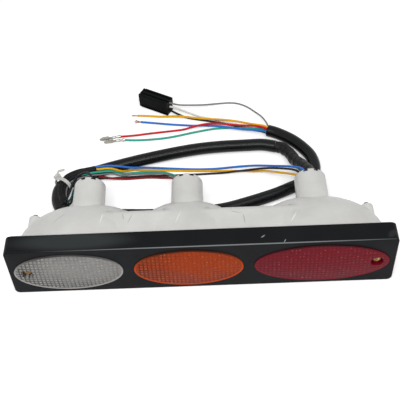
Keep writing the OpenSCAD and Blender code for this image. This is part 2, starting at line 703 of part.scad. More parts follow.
module bulb_glass_left() bulb_glass(0);
module bulb_glass_middle() bulb_glass(1);
module bulb_glass_right() bulb_glass(2);
module bulb_base_left() bulb_base(0, 1);
module bulb_base_middle() bulb_base(1, 1);
module bulb_base_right() bulb_base(2, 2);
module socket_left() socket(0);
module socket_middle() socket(1);
module socket_right() socket(2);
module contact_disc_left() contact_disc(0, 1);
module contact_disc_middle() contact_disc(1, 1);
module contact_disc_right() contact_disc(2, 2);
module boot_left() boot(0);
module boot_middle() boot(1);
module boot_right() boot(2);

// Frame of the plug: X towards its wires, Z up from the table
module on_plug() translate([PLUG_AT.x, PLUG_AT.y, 0]) rotate([0, 0, PLUG_TURN]) children();
SLOT_Z = [for (k = [-1 : 1]) plug_h / 2 + k * plug_pitch];

// Three-way plug with grooves along its sides and a chamfered front
module plug_housing() color(BLACK_PLASTIC) on_plug() difference() {
    translate([plug_l / 2, 0, 0]) rotate([0, -90, 0]) linear_extrude(plug_l) translate([plug_h / 2, 0])
        plug_outline();
    for (z = SLOT_Z) translate([-plug_l / 2 - cut, plug_wall - plug_t / 2, z - slot_w / 2])
        cube([slot_depth + cut, plug_t - 2 * plug_wall, slot_w]);
    // Shoulder round the front
    translate([-plug_l / 2 - cut, 0, plug_h / 2]) rotate([0, 90, 0]) linear_extrude(shoulder_l + cut)
        difference() {
            square([2 * plug_h, 2 * plug_t], center = true);
            square([plug_h - 2 * shoulder_t, plug_t - 2 * shoulder_t], center = true);
        }
}

// Section of the plug: corners cut, one broad groove on each side and two on the top
module plug_outline() difference() {
    square([plug_h, plug_t], center = true);
    for (x = [-1, 1], y = [-1, 1]) translate([x * plug_h / 2, y * plug_t / 2]) rotate([0, 0, 45])
        square(plug_corner, center = true);
    for (y = [-1, 1]) translate([-plug_h / 4, y * plug_t / 2])
        square([plug_h / 3, 2 * groove_d], center = true);
    for (y = [-1, 1]) translate([plug_h / 2, y * plug_t / 5])
        square([2 * groove_d, top_groove_w], center = true);
}

module plug_terminals() color(NICKEL) on_plug() {
    for (z = SLOT_Z) translate([tab_in - plug_l / 2, plug_wall - plug_t / 2, z - slot_w / 2]) {
        cube([slot_depth - tab_in, plug_t - 2 * plug_wall, tab_t]);
        cube([slot_depth - tab_in, tab_t, slot_w]);
    }
}

// Round bar of diameter d along X, from x on, in line with the wires
module bar(x, d, l) translate([x, 0, wire_z]) rotate([0, 90, 0]) cylinder(d = d, h = l, $fn = 12);

module crimp_terminal() color(NICKEL) {
    half = blade_w / 2;
    end = blade_x + blade_l;
    bar(0, grip_d, grip_l);
    bar(grip_l, core_d, wire_grip_x - grip_l + cut);
    bar(wire_grip_x, wire_grip_d, wire_grip_l);
    // Blade with sloping shoulders and a pointed end
    translate([0, 0, wire_z - blade_t / 2]) linear_extrude(blade_t) polygon([
        [neck_x, -half / 2], [blade_x - half / 2, -half / 2], [blade_x, -half], [end - half, -half],
        [end, -0.3 * half], [end, 0.3 * half], [end - half, half], [blade_x, half],
        [blade_x - half / 2, half / 2], [neck_x, half / 2]
    ]);
    for (y = [-1, 1]) translate([blade_x, y * (half - rail_w / 2) - rail_w / 2, wire_z])
        cube([rail_l, rail_w, rail_h]);
}

module crimp_terminal_red() {
    translate([CRIMP_RED.x, CRIMP_RED.y, blade_lift]) rotate([0, 0, CRIMP_TURN[0]]) crimp_terminal();
}
module crimp_terminal_green() {
    translate([CRIMP_GREEN.x, CRIMP_GREEN.y, blade_lift]) rotate([0, 0, CRIMP_TURN[1]]) crimp_terminal();
}

// Straight rod between two points
module rod(p, q, d) {
    v = q - p;
    translate(p) rotate([0, acos(v.z / norm(v)), atan2(v.y, v.x)]) cylinder(d = d, h = norm(v), $fn = 12);
}

// Stripped ends of the yellow and the blue wire, the blue one's strands spread
YELLOW_END = [[-73.1, 183, wire_z], [-80, 183.4, wire_z]];
BLUE_END = [-72.1, 173.5, wire_z];
BLUE_STRANDS = [[-78, 172.8, wire_z - 0.4], [-79, 175, wire_z], [-78, 177.2, wire_z + 0.4]];

module bare_strands() color([0.7, 0.42, 0.3]) {
    rod(YELLOW_END[0], YELLOW_END[1], bundle_d);
    for (tip = BLUE_STRANDS) rod(BLUE_END, tip, strand_d);
}

// Band round the sheath and the wires, with its head on the outside and the tail of the strap
module cable_tie() color([0.85, 0.85, 0.83]) {
    translate(TIE_AT) rotate([0, 0, TIE_TURN]) rotate([90, 0, 0]) difference() {
        cylinder(r = tie_r + tie_t, h = tie_w, center = true);
        cylinder(r = tie_r, h = tie_w + 2 * cut, center = true);
    }
    translate(TIE_AT) rotate([0, 0, TIE_TURN]) rotate([0, tie_head_turn, 0])
        translate([-tie_r - tie_t - 0.4 * TIE_HEAD.x, 0, 0]) cube(TIE_HEAD, center = true);
    for (k = [0 : len(TIE_TAIL) - 2]) hull() {
        translate(TIE_TAIL[k]) cube([tie_t, tie_tail_w, tie_t], center = true);
        translate(TIE_TAIL[k + 1]) cube([tie_t, tie_tail_w, tie_t], center = true);
    }
}

// Points of a cord between its hand-set ones, smoothed, and never below the table
function smooth(p, low) = [
    for (i = [0 : len(p) - 2], k = [0 : 1])
        let (a = p[max(i - 1, 0)], b = p[i], c = p[i + 1], d = p[min(i + 2, len(p) - 1)], t = k / 2,
            q = (2 * b + (c - a) * t + (2 * a - 5 * b + 4 * c - d) * t * t
                + (3 * b - a - 3 * c + d) * t * t * t) / 2)
        [q.x, q.y, max(q.z, low)],
    [p[len(p) - 1].x, p[len(p) - 1].y, max(p[len(p) - 1].z, low)]
];

// Round cord of diameter d along the points p
module tube(p, d, sides) {
    q = smooth(p, d / 2);
    last = len(q) - 1;
    loft([for (i = [0 : last])
        let (along = q[min(i + 1, last)] - q[max(i - 1, 0)], t = along / norm(along),
            s = cross(t, [0, 0, 1]), side = s / norm(s), up = cross(side, t))
        [for (k = [0 : sides - 1]) let (a = -360 * k / sides)
            q[i] + d / 2 * (cos(a) * side + sin(a) * up)]]);
}

module junction_tape() color(RUBBER) tube(TAPE, tape_d, 12);
module sheath() color([0.09, 0.09, 0.1]) tube(SHEATH, sheath_d, 12);
module tail_grey() color(GREY) tube(TAIL_GREY, thin_wire_d, 8);
module tail_white() color([0.9, 0.9, 0.88]) tube(TAIL_WHITE, wire_d, 8);
module tail_black() color(RUBBER) tube(TAIL_BLACK, wire_d, 8);
module tail_yellow() color(YELLOW) tube(TAIL_YELLOW, wire_d, 8);
module tail_blue() color(BLUE) tube(TAIL_BLUE, wire_d, 8);
module tail_red() color(RED) tube(TAIL_RED, wire_d, 8);
module tail_green() color(GREEN) tube(TAIL_GREEN, wire_d, 8);
module branch_blue() color(BLUE) tube(BRANCH_BLUE, wire_d, 8);
module branch_yellow() color(YELLOW) tube(BRANCH_YELLOW, wire_d, 8);
module branch_black() color(RUBBER) tube(BRANCH_BLACK, wire_d, 8);
module branch_green() color(GREEN) tube(BRANCH_GREEN, wire_d, 8);
module branch_grey() color(GREY) tube(BRANCH_GREY, thin_wire_d, 8);
module branch_red() color(RED) tube(BRANCH_RED, wire_d, 8);
module lead_black() color(RUBBER) tube(LEAD_BLACK, wire_d, 8);
module lead_green() color(GREEN) tube(LEAD_GREEN, wire_d, 8);
module lead_blue() color(BLUE) tube(LEAD_BLUE, wire_d, 8);

bezel();
rear_housing();
lens_clear();
lens_amber();
lens_red();
lens_seal();
mounting_screws();
screw_seals();
bulb_glass_left();
bulb_glass_middle();
bulb_glass_right();
bulb_base_left();
bulb_base_middle();
bulb_base_right();
socket_left();
socket_middle();
socket_right();
contact_disc_left();
contact_disc_middle();
contact_disc_right();
boot_left();
boot_middle();
boot_right();
plug_housing();
plug_terminals();
crimp_terminal_red();
crimp_terminal_green();
bare_strands();
cable_tie();
junction_tape();
sheath();
tail_grey();
tail_white();
tail_black();
tail_yellow();
tail_blue();
tail_red();
tail_green();
branch_blue();
branch_yellow();
branch_black();
branch_green();
branch_grey();
branch_red();
lead_black();
lead_green();
lead_blue();
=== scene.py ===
# Looks of the forklift tail light: cords as round tubes, mouldings shaded smoothly, the finish of every
# piece, and a plain studio. Metres, in the model's frame.
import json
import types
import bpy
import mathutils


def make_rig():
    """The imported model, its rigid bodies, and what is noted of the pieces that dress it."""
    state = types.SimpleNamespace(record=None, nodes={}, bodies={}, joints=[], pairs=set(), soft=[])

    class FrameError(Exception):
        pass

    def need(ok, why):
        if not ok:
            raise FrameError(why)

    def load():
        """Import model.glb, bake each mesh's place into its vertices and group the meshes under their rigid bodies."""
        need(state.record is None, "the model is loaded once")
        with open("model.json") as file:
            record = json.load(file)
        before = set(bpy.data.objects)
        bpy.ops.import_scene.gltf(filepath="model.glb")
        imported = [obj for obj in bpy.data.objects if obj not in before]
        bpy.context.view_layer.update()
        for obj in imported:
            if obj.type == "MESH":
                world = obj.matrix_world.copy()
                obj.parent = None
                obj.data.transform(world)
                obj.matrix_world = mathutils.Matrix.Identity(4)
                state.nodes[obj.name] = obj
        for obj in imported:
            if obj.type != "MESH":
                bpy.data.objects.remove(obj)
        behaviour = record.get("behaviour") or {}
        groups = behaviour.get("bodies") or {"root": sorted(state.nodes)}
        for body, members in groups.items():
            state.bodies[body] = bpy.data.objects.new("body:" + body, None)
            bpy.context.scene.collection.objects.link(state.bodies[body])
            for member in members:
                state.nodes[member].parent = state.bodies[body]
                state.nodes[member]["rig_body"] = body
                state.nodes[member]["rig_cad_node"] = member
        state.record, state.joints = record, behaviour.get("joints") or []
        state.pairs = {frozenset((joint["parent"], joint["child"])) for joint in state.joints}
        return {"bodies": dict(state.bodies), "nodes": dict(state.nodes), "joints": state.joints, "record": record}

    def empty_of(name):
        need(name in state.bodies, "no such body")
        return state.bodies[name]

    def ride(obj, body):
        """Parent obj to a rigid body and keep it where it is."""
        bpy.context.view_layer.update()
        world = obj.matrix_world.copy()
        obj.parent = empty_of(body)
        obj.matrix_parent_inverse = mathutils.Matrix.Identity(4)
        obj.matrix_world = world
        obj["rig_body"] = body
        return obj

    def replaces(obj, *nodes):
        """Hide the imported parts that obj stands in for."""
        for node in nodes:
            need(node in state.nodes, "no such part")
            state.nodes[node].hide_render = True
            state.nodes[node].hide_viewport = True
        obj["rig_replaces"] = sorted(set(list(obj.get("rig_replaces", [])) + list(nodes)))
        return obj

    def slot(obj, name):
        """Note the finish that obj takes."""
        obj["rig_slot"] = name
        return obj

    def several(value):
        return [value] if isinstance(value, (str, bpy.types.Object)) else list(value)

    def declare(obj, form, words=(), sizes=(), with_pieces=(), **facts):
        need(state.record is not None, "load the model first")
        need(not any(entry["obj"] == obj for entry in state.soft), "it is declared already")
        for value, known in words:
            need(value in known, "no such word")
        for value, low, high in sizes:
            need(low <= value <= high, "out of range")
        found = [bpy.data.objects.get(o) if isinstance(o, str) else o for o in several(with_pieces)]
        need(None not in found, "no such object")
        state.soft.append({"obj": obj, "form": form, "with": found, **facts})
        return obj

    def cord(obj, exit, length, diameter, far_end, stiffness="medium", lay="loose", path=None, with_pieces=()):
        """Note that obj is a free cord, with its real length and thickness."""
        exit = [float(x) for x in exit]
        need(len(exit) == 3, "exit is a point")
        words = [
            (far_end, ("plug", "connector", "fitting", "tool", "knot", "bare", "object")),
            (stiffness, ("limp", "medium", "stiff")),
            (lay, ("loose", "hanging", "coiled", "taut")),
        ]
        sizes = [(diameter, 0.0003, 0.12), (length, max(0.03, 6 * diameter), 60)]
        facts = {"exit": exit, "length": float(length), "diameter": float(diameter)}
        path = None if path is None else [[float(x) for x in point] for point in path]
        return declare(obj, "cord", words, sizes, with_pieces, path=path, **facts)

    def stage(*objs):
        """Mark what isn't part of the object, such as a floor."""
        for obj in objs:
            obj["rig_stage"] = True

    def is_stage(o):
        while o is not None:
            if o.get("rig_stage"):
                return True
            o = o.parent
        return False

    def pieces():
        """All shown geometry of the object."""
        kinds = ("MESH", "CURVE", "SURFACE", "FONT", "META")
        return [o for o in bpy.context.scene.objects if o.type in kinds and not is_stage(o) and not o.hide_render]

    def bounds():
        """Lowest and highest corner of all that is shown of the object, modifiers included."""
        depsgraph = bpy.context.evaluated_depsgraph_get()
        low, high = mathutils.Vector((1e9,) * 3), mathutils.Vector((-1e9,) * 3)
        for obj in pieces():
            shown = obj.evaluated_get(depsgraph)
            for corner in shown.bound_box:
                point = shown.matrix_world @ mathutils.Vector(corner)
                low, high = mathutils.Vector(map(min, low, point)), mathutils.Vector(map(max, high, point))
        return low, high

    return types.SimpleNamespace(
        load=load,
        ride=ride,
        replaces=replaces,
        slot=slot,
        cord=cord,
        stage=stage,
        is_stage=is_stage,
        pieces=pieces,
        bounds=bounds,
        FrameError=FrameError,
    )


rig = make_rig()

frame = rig.load()

import json
import math

import bmesh
import bpy
from mathutils import Matrix, Vector, noise

cad_low, cad_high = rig.bounds()
MM = 0.001
record_slots = {part["node"]: part["material_slot"] for part in frame["record"]["subparts"]}

# Camera, fitted to points of the photograph: its place in metres, its turns in degrees, and its lens
CAMERA_AT = (0.0170, -0.5006, 0.6395)
CAMERA_AZIMUTH = 1.851
CAMERA_ELEVATION = 48.968
CAMERA_ROLL = 3.599
CAMERA_NEAREST = 0.01
SENSOR_MM = 36
FOCAL_MM = 75.18


def place_camera():
    """Camera at its place, which looks down on the lamp's front and is rolled a little."""
    a, e, r = (math.radians(x) for x in (CAMERA_AZIMUTH, CAMERA_ELEVATION, CAMERA_ROLL))
    back = Vector((math.sin(a) * math.cos(e), -math.cos(a) * math.cos(e), math.sin(e)))
    right = Vector((math.cos(a), math.sin(a), 0))
    up = back.cross(right)
    x_axis = math.cos(r) * right - math.sin(r) * up
    y_axis = math.sin(r) * right + math.cos(r) * up
    data = bpy.data.cameras.new("camera")
    data.sensor_width = SENSOR_MM
    data.lens = FOCAL_MM
    data.clip_start = CAMERA_NEAREST
    camera = bpy.data.objects.new("camera", data)
    camera.matrix_world = Matrix.Translation(CAMERA_AT) @ Matrix((x_axis, y_axis, back)).transposed().to_4x4()
    bpy.context.scene.collection.objects.link(camera)
    bpy.context.scene.camera = camera


place_camera()

# Diameters of the cords
SHEATH_D = 13 * MM
TAPE_D = 12.4 * MM
WIRE_D = 2.3 * MM
THIN_WIRE_D = 1.8 * MM

# Routes of the cords, the same points as in the model's source
ROUTES = {
    "sheath": [
        (0.08, 0.121, 0.0065), (0.066, 0.1245, 0.0065), (0.048, 0.1245, 0.0065), (0.024, 0.124, 0.0065),
        (0, 0.122, 0.0065), (-0.023, 0.118, 0.0065), (-0.047, 0.1125, 0.0065), (-0.07, 0.1065, 0.0065),
        (-0.093, 0.0995, 0.0065), (-0.11, 0.0935, 0.0065), (-0.1265, 0.0865, 0.0076),
        (-0.1365, 0.08, 0.0083), (-0.143, 0.0705, 0.008), (-0.1445, 0.059, 0.007), (-0.141, 0.0475, 0.0065),
        (-0.133, 0.039, 0.0065), (-0.122, 0.0345, 0.0065), (-0.11, 0.034, 0.0065), (-0.098, 0.0345, 0.0065),
        (-0.08, 0.034, 0.0065), (-0.051, 0.0325, 0.0065), (-0.02, 0.032, 0.0065), (0.019, 0.036, 0.0065),
        (0.049, 0.0445, 0.0065), (0.075, 0.054, 0.0065), (0.092, 0.062, 0.0065), (0.104, 0.0675, 0.0065),
        (0.1135, 0.076, 0.0065), (0.118, 0.088, 0.0065), (0.116, 0.104, 0.0065), (0.109, 0.117, 0.0065),
        (0.098, 0.13, 0.0065), (0.084, 0.1405, 0.0065), (0.074, 0.1455, 0.0065)
    ],
    "tape": [
        (0.111, 0.0503, 0.028), (0.111, 0.057, 0.0278), (0.1095, 0.065, 0.0255), (0.107, 0.074, 0.0215),
        (0.103, 0.085, 0.016), (0.098, 0.096, 0.011), (0.095, 0.107, 0.008), (0.088, 0.1175, 0.0066),
        (0.0804, 0.1209, 0.0065)
    ],
    "tail_grey": [
        (0.075, 0.1494, 0.0073), (0.074, 0.1535, 0.0072), (0.0725, 0.1605, 0.0055), (0.068, 0.171, 0.004),
        (0.06, 0.1835, 0.001), (0.051, 0.192, 0.001), (0.04, 0.197, 0.001), (0.026, 0.1975, 0.001),
        (0.006, 0.193, 0.004), (-0.01, 0.188, 0.009), (-0.022, 0.1848, 0.013), (-0.0317, 0.1868, 0.0145)
    ],
    "tail_white": [
        (0.0749, 0.1478, 0.0041), (0.0691, 0.1511, 0.0041), (0.058, 0.1555, 0.0012),
        (0.037, 0.1635, 0.0012), (0.014, 0.1725, 0.0012), (0.001, 0.177, 0.0012), (-0.013, 0.1825, 0.0035),
        (-0.024, 0.1845, 0.008), (-0.0317, 0.1868, 0.009)
    ],
    "tail_black": [
        (0.0729, 0.1443, 0.0036), (0.0671, 0.1476, 0.0036), (0.057, 0.1532, 0.0012), (0.042, 0.159, 0.0012),
        (0.017, 0.1675, 0.0012), (-0.01, 0.175, 0.0012), (-0.022, 0.1805, 0.0022),
        (-0.0317, 0.1868, 0.0035)
    ],
    "tail_yellow": [
        (0.0745, 0.1471, 0.0094), (0.0687, 0.1504, 0.0094), (0.056, 0.1575, 0.006), (0.045, 0.163, 0.0042),
        (0.035, 0.1662, 0.0038), (0.023, 0.1685, 0.0038), (0.001, 0.1715, 0.0038), (-0.021, 0.1765, 0.0034),
        (-0.044, 0.1795, 0.0012), (-0.058, 0.1815, 0.0012), (-0.073, 0.183, 0.0012)
    ],
    "tail_blue": [
        (0.0719, 0.1426, 0.007), (0.0661, 0.1458, 0.007), (0.05, 0.1512, 0.0038), (0.04, 0.1535, 0.0038),
        (0.03, 0.156, 0.0038), (0.02, 0.1584, 0.0036), (0.006, 0.1612, 0.0024), (-0.01, 0.1635, 0.0012),
        (-0.032, 0.1665, 0.0012), (-0.049, 0.1695, 0.0012), (-0.072, 0.1735, 0.0012)
    ],
    "tail_red": [
        (0.0731, 0.1447, 0.0097), (0.0673, 0.1479, 0.0097), (0.06, 0.152, 0.0078), (0.05, 0.1545, 0.0066),
        (0.04, 0.1565, 0.006), (0.03, 0.1583, 0.006), (0.02, 0.1596, 0.006), (0.01, 0.1602, 0.006),
        (0, 0.1595, 0.005), (-0.01, 0.1584, 0.003), (-0.021, 0.157, 0.0012), (-0.054, 0.1535, 0.0012),
        (-0.07, 0.1515, 0.0012), (-0.0857, 0.1505, 0.0012)
    ],
    "tail_green": [
        (0.0738, 0.1459, 0.0063), (0.068, 0.1491, 0.0063), (0.059, 0.152, 0.0042), (0.05, 0.154, 0.003),
        (0.04, 0.1562, 0.0018), (0.03, 0.1572, 0.0012), (0.02, 0.157, 0.0012), (0.01, 0.1558, 0.0012),
        (-0.008, 0.152, 0.0012), (-0.022, 0.1485, 0.0012), (-0.037, 0.1455, 0.0012),
        (-0.055, 0.144, 0.0012), (-0.07, 0.144, 0.0012), (-0.0807, 0.145, 0.0012)
    ],
    "branch_blue": [
        (0.102, 0.0504, 0.038), (0.101, 0.06, 0.036), (0.091, 0.072, 0.027), (0.075, 0.085, 0.015),
        (0.057, 0.093, 0.008), (0.038, 0.0975, 0.0025), (0.015, 0.097, 0.0012), (-0.006, 0.0975, 0.0012),
        (-0.032, 0.1, 0.0012), (-0.055, 0.1015, 0.0022), (-0.072, 0.0975, 0.0075), (-0.0825, 0.096, 0.0115),
        (-0.093, 0.0955, 0.0135), (-0.1045, 0.094, 0.0145), (-0.117, 0.091, 0.015), (-0.127, 0.0875, 0.016),
        (-0.137, 0.0805, 0.0165), (-0.142, 0.07, 0.016), (-0.1425, 0.06, 0.015), (-0.14, 0.052, 0.0145)
    ],
    "branch_yellow": [
        (0.098, 0.0504, 0.031), (0.096, 0.057, 0.03), (0.09, 0.064, 0.025), (0.078, 0.077, 0.014),
        (0.066, 0.086, 0.007), (0.055, 0.091, 0.0015), (0.036, 0.093, 0.0012), (0.015, 0.094, 0.0012),
        (-0.006, 0.095, 0.0012), (-0.032, 0.097, 0.0012), (-0.055, 0.099, 0.0012), (-0.0725, 0.0995, 0.001),
        (-0.082, 0.0945, 0.006), (-0.092, 0.093, 0.012), (-0.1035, 0.0915, 0.0135),
        (-0.116, 0.0885, 0.0145), (-0.1255, 0.0845, 0.0155), (-0.135, 0.0785, 0.0165),
        (-0.1395, 0.069, 0.0155), (-0.14, 0.06, 0.014), (-0.1375, 0.053, 0.013)
    ],
    "branch_black": [
        (0.0995, 0.0504, 0.0345), (0.098, 0.057, 0.034), (0.091, 0.066, 0.0295), (0.071, 0.084, 0.013),
        (0.057, 0.088, 0.008), (0.045, 0.09, 0.0045), (0.036, 0.0896, 0.004), (0.02, 0.0905, 0.0012),
        (-0.006, 0.09, 0.0012), (-0.032, 0.09, 0.0012), (-0.053, 0.0906, 0.0012), (-0.075, 0.09, 0.0012),
        (-0.092, 0.0892, 0.0012), (-0.1025, 0.0885, 0.0025), (-0.114, 0.083, 0.006),
        (-0.123, 0.079, 0.0075), (-0.131, 0.074, 0.008), (-0.1355, 0.0675, 0.006), (-0.137, 0.0605, 0.004),
        (-0.136, 0.0535, 0.003)
    ],
    "branch_green": [
        (-0.014, 0.0509, 0.037), (-0.0165, 0.058, 0.031), (-0.022, 0.07, 0.02), (-0.029, 0.084, 0.009),
        (-0.036, 0.091, 0.0045), (-0.044, 0.0946, 0.0025), (-0.056, 0.0964, 0.0012),
        (-0.078, 0.095, 0.0012), (-0.0915, 0.092, 0.009), (-0.103, 0.0895, 0.0115), (-0.115, 0.086, 0.0135),
        (-0.1245, 0.0825, 0.0145), (-0.1335, 0.0765, 0.015), (-0.1375, 0.0685, 0.0135),
        (-0.138, 0.06, 0.012), (-0.136, 0.0535, 0.0105)
    ],
    "branch_grey": [
        (-0.018, 0.0504, 0.034), (-0.0185, 0.057, 0.03), (-0.024, 0.066, 0.022), (-0.028, 0.076, 0.014),
        (-0.034, 0.086, 0.0075), (-0.042, 0.091, 0.004), (-0.053, 0.0936, 0.0012), (-0.07, 0.0936, 0.0012),
        (-0.083, 0.092, 0.002), (-0.0915, 0.0915, 0.006), (-0.1025, 0.088, 0.009),
        (-0.1145, 0.0845, 0.0115), (-0.1235, 0.0805, 0.0125), (-0.132, 0.0755, 0.013),
        (-0.136, 0.068, 0.0115), (-0.1365, 0.0605, 0.0095), (-0.135, 0.054, 0.008)
    ],
    "branch_red": [
        (-0.02, 0.0504, 0.03), (-0.02, 0.056, 0.028), (-0.022, 0.064, 0.021), (-0.027, 0.077, 0.01),
        (-0.032, 0.0845, 0.0035), (-0.042, 0.0872, 0.0012), (-0.055, 0.0882, 0.0012),
        (-0.075, 0.0874, 0.0012), (-0.092, 0.087, 0.0036), (-0.1025, 0.0875, 0.006),
        (-0.114, 0.0835, 0.009), (-0.123, 0.0795, 0.01), (-0.131, 0.0745, 0.011), (-0.1355, 0.0675, 0.009),
        (-0.1365, 0.0605, 0.0065), (-0.135, 0.054, 0.0055)
    ],
    "lead_black": [
        (-0.1333, 0.05, 0.0065), (-0.1305, 0.053, 0.0075), (-0.1273, 0.0585, 0.011), (-0.122, 0.062, 0.017),
        (-0.1172, 0.0605, 0.0235), (-0.1145, 0.0555, 0.027), (-0.114, 0.0504, 0.0275)
    ],
    "lead_green": [
        (-0.1338, 0.0502, 0.0096), (-0.13, 0.055, 0.012), (-0.127, 0.062, 0.0165), (-0.121, 0.066, 0.0225),
        (-0.1145, 0.063, 0.028), (-0.1115, 0.0565, 0.031), (-0.111, 0.0504, 0.0315)
    ],
    "lead_blue": [
        (-0.1356, 0.0489, 0.0122), (-0.1315, 0.0575, 0.0165), (-0.1275, 0.066, 0.0223),
        (-0.12, 0.0705, 0.0283), (-0.111, 0.0675, 0.034), (-0.1065, 0.059, 0.036), (-0.106, 0.0504, 0.036)
    ],
}

# Oval lenses: middle and size of each, as they show in the bezel's face, and width of the plain rim
LENS_Z = 30.5 * MM
LENS_MIDDLES = {"lens_clear": (-120.5 * MM, 0, LENS_Z), "lens_amber": (-11.5 * MM, 0, LENS_Z),
                "lens_red": (108.5 * MM, 0, LENS_Z)}
LENS_SIZES = {"lens_clear": (99 * MM, 51 * MM), "lens_amber": (99 * MM, 51 * MM),
              "lens_red": (121 * MM, 51 * MM)}
LENS_RIM = 2 * MM

# Moulded acrylic of each lens: its name, the colours of the painted shade in its grooves, of its faces, of its
# painted glints and of its rim's painted highlight, and how dark the grooves' painted shade goes. The clear one
# shows the grey of what is behind it, the amber one is warm and bright, and the red one is deep, with grooves that
# hardly show
LENS_LOOKS = {
    "lens_clear": ("clear_acrylic", "3E3D3C", "949390", "E8E6E2", "A6A3A0", 0.9),
    "lens_amber": ("amber_acrylic", "3A1A0A", "A63A08", "E0905A", "BE460C", 0.7),
    "lens_red": ("red_acrylic", "3E0810", "761020", "C46A70", "7E1422", 0.25),
}

# Prisms in the lenses: pitch, depth and strength as bumps. Their height counts from 0 in a groove to 0.5 at
# a point: a groove's shade fades out between the first two heights, a point's light comes in between the
# other two
PRISM_PITCH = 3.7 * MM
PRISM_DEPTH = 1 * MM
PRISM_BUMP = 0.6
GROOVE_HEIGHTS = (0.03, 0.26)
POINT_HEIGHTS = (0.22, 0.36)

# Where the painted shade in the grooves is faintest, as shares of the half length and the half height inside the
# rim, the distances from there between which that shade goes from faint to dark, the shade of the faint ones, and
# the size in mm of the patches that break this up
LENS_CALM = (0.4, 0, 0.3)
GROOVE_DISTANCES = (1.0, 1.9)
GROOVE_LEAST = 0.08
GROOVE_PATCH_MM = 25

# Each quarter of a prism has a number of its own from 0 to 1: how much shade that gives it at most, the
# numbers between which its point lights up, and how far that goes
QUARTER_SHADE = 0.22
SPARK_NUMBERS = (0.86, 0.97)
SPARK_MOST = 0.5

# Where the prisms give way to the rim, and the heights between which the rim goes from its painted highlight to
# painted shade, all as shares of the half size inside the rim
RIM_EDGE = (1.0, 1.015)
RIM_HEIGHTS = (-0.1, 1.0)

# Marks on the bezel: two ends and half width in mm, and colour. A painted sheen on the left of its top, a painted
# reflection at its right corner, a painted highlight along its front edge, which is drawn on past the right end so
# that it shows as much there, and two pale scuffs
BEZEL_SCUFFS_AND_PAINTED_LIGHT = [
    # Painted sheen on the left of the top
    ((-168, -40, 61), (-60, -40, 61), 13, "303334"),
    # Painted reflection at the rounded right corner
    ((167, -47, 61), (171.5, -42, 61), 4, "26282A"),
    # Painted highlight along the front edge
    ((-160, -50.5, 60.5), (215, -50.5, 60.5), 0.6, "77797B"),
    # Two pale scuffs
    ((53.8, -43.9, 61), (57.5, -41.2, 61), 0.6, "A2A4A6"),
    ((73.5, -50.2, 60.8), (75.5, -46.6, 61), 0.45, "A2A4A6"),
]

# Painted highlights, and painted shade along the creases where the bowls meet, in the same form
HOUSING_PAINTED_LIGHT_AND_SHADE = [
    # Painted highlights
    ((-91.5, -16.5, 54.8), (-89.5, 0.1, 51), 0.7, "ECECE9"),
    ((-22.8, -20.5, 55.6), (-16.5, -0.8, 52.3), 0.7, "ECECE9"),
    ((82, -22.1, 53.9), (88.9, -9.1, 53.2), 0.7, "ECECE9"),
    # Painted shade along creases
    ((-121.6, 5, 49.7), (-137.8, -13.8, 52.3), 0.7, "A9A9A4"),
    ((-71.9, -1.5, 51.7), (-69.7, -10.3, 52), 0.7, "B0B0AB"),
    ((-61.7, -2.2, 51.8), (-66.7, -15.2, 52), 0.6, "B0B0AB"),
    ((26.1, -3.7, 52), (39.7, -7.4, 52), 0.6, "B0B0AB"),
    ((39.7, -7.4, 52), (41.3, -20.5, 52), 0.7, "A9A9A4"),
]

# How far in from its edge a mark has its full colour, as a share of its half width
MARK_FADE = 0.6

# Nearly all values of a noise lie between these two
NOISE_LOW = 0.3
NOISE_HIGH = 0.7

# Metals: dark and light colour, lowest and highest roughness, and size in mm of the marks that its making
# left. Those marks are really about 0.1 mm across, and are drawn coarser so that they show
METALS = {
    # Drawn brass of the bulb sockets: warm yellow and satin
    "drawn_brass": ("9C7A35", "C9A65C", 0.25, 0.42, 0.8),
    # Nickel plate on the bulbs' pressed bases: pale, a little warm, half bright
    "nickel_plate": ("A8A49A", "C9C6BE", 0.2, 0.35, 0.8),
    # Tin plate on stamped terminals: grey, half bright and stained
    "tin_plate": ("76756F", "B3B0A8", 0.22, 0.4, 0.8),
    # Bright yellow zinc on the screws' heads: brown to pale gold in random patches
    "bright_yellow_zinc": ("6E5136", "B89468", 0.3, 0.45, 0.6),
    # Drawn copper of the bare strands: reddish and satin
    "drawn_copper": ("8A5640", "C08A6C", 0.25, 0.4, 0.5),
}

# Edges of a moulding that turn by more than this stay sharp, and points nearer than this become one
CREASE_DEGREES = 32
WELD = 0.01 * MM

# Sheath: its wall, the depth of its open end and how far the lip stands out. Its radius lies a little inside
# the nominal one and drifts, both in mm, over the given distance. Then its rings in each stretch of the
# route, and the points in a ring
SHEATH_WALL = 1.1 * MM
SHEATH_OPEN = 12 * MM
LIP_RISE = 0.3 * MM
SHEATH_INSET_MM = 0.12
SHEATH_DRIFT_MM = 0.08
SHEATH_DRIFT_OVER = 30 * MM
SHEATH_STEPS = 10
SHEATH_SIDES = 36

# Tape at the right neck: pitch of its turns, how far in mm a turn stands out where it steps over the last
# and lies in where the next one covers it, how far in mm all of it lies in, and its wrinkles, as depth in
# mm and width. Then its rings and points, as above
TAPE_PITCH = 9.5 * MM
TAPE_LAP_MM = (0.2, -0.25)
TAPE_INSET_MM = 0.15
TAPE_WRINKLES = ((0.30, 6 * MM), (0.18, 2.2 * MM))
TAPE_STEPS = 16
TAPE_SIDES = 48

# Tape at the left bend: it covers the sheath where x is below and y above these two. Its thickness, by what
# share and over what distance that changes, and its points in a ring
BEND_TAPE_X = -107 * MM
BEND_TAPE_Y = 44 * MM
BEND_TAPE_T = 0.35 * MM
BEND_TAPE_UNEVEN = 0.5
BEND_TAPE_PATCH = 5 * MM
BEND_TAPE_SIDES = 120
# How far the tape goes on past the wires' ends, where the green wire goes under it, and how far it stays
# above the table
BEND_TAPE_PAST = 6 * MM
GREEN_UNDER_X = -125 * MM
TABLE_GAP = 0.2 * MM

# Wires: how far they go into what they come out of and end in, the two thin ones, rings and points
WIRE_ENTRY = 1.5 * MM
THIN_WIRES = ("tail_grey", "branch_grey")
WIRE_STEPS = 8
WIRE_SIDES = 14
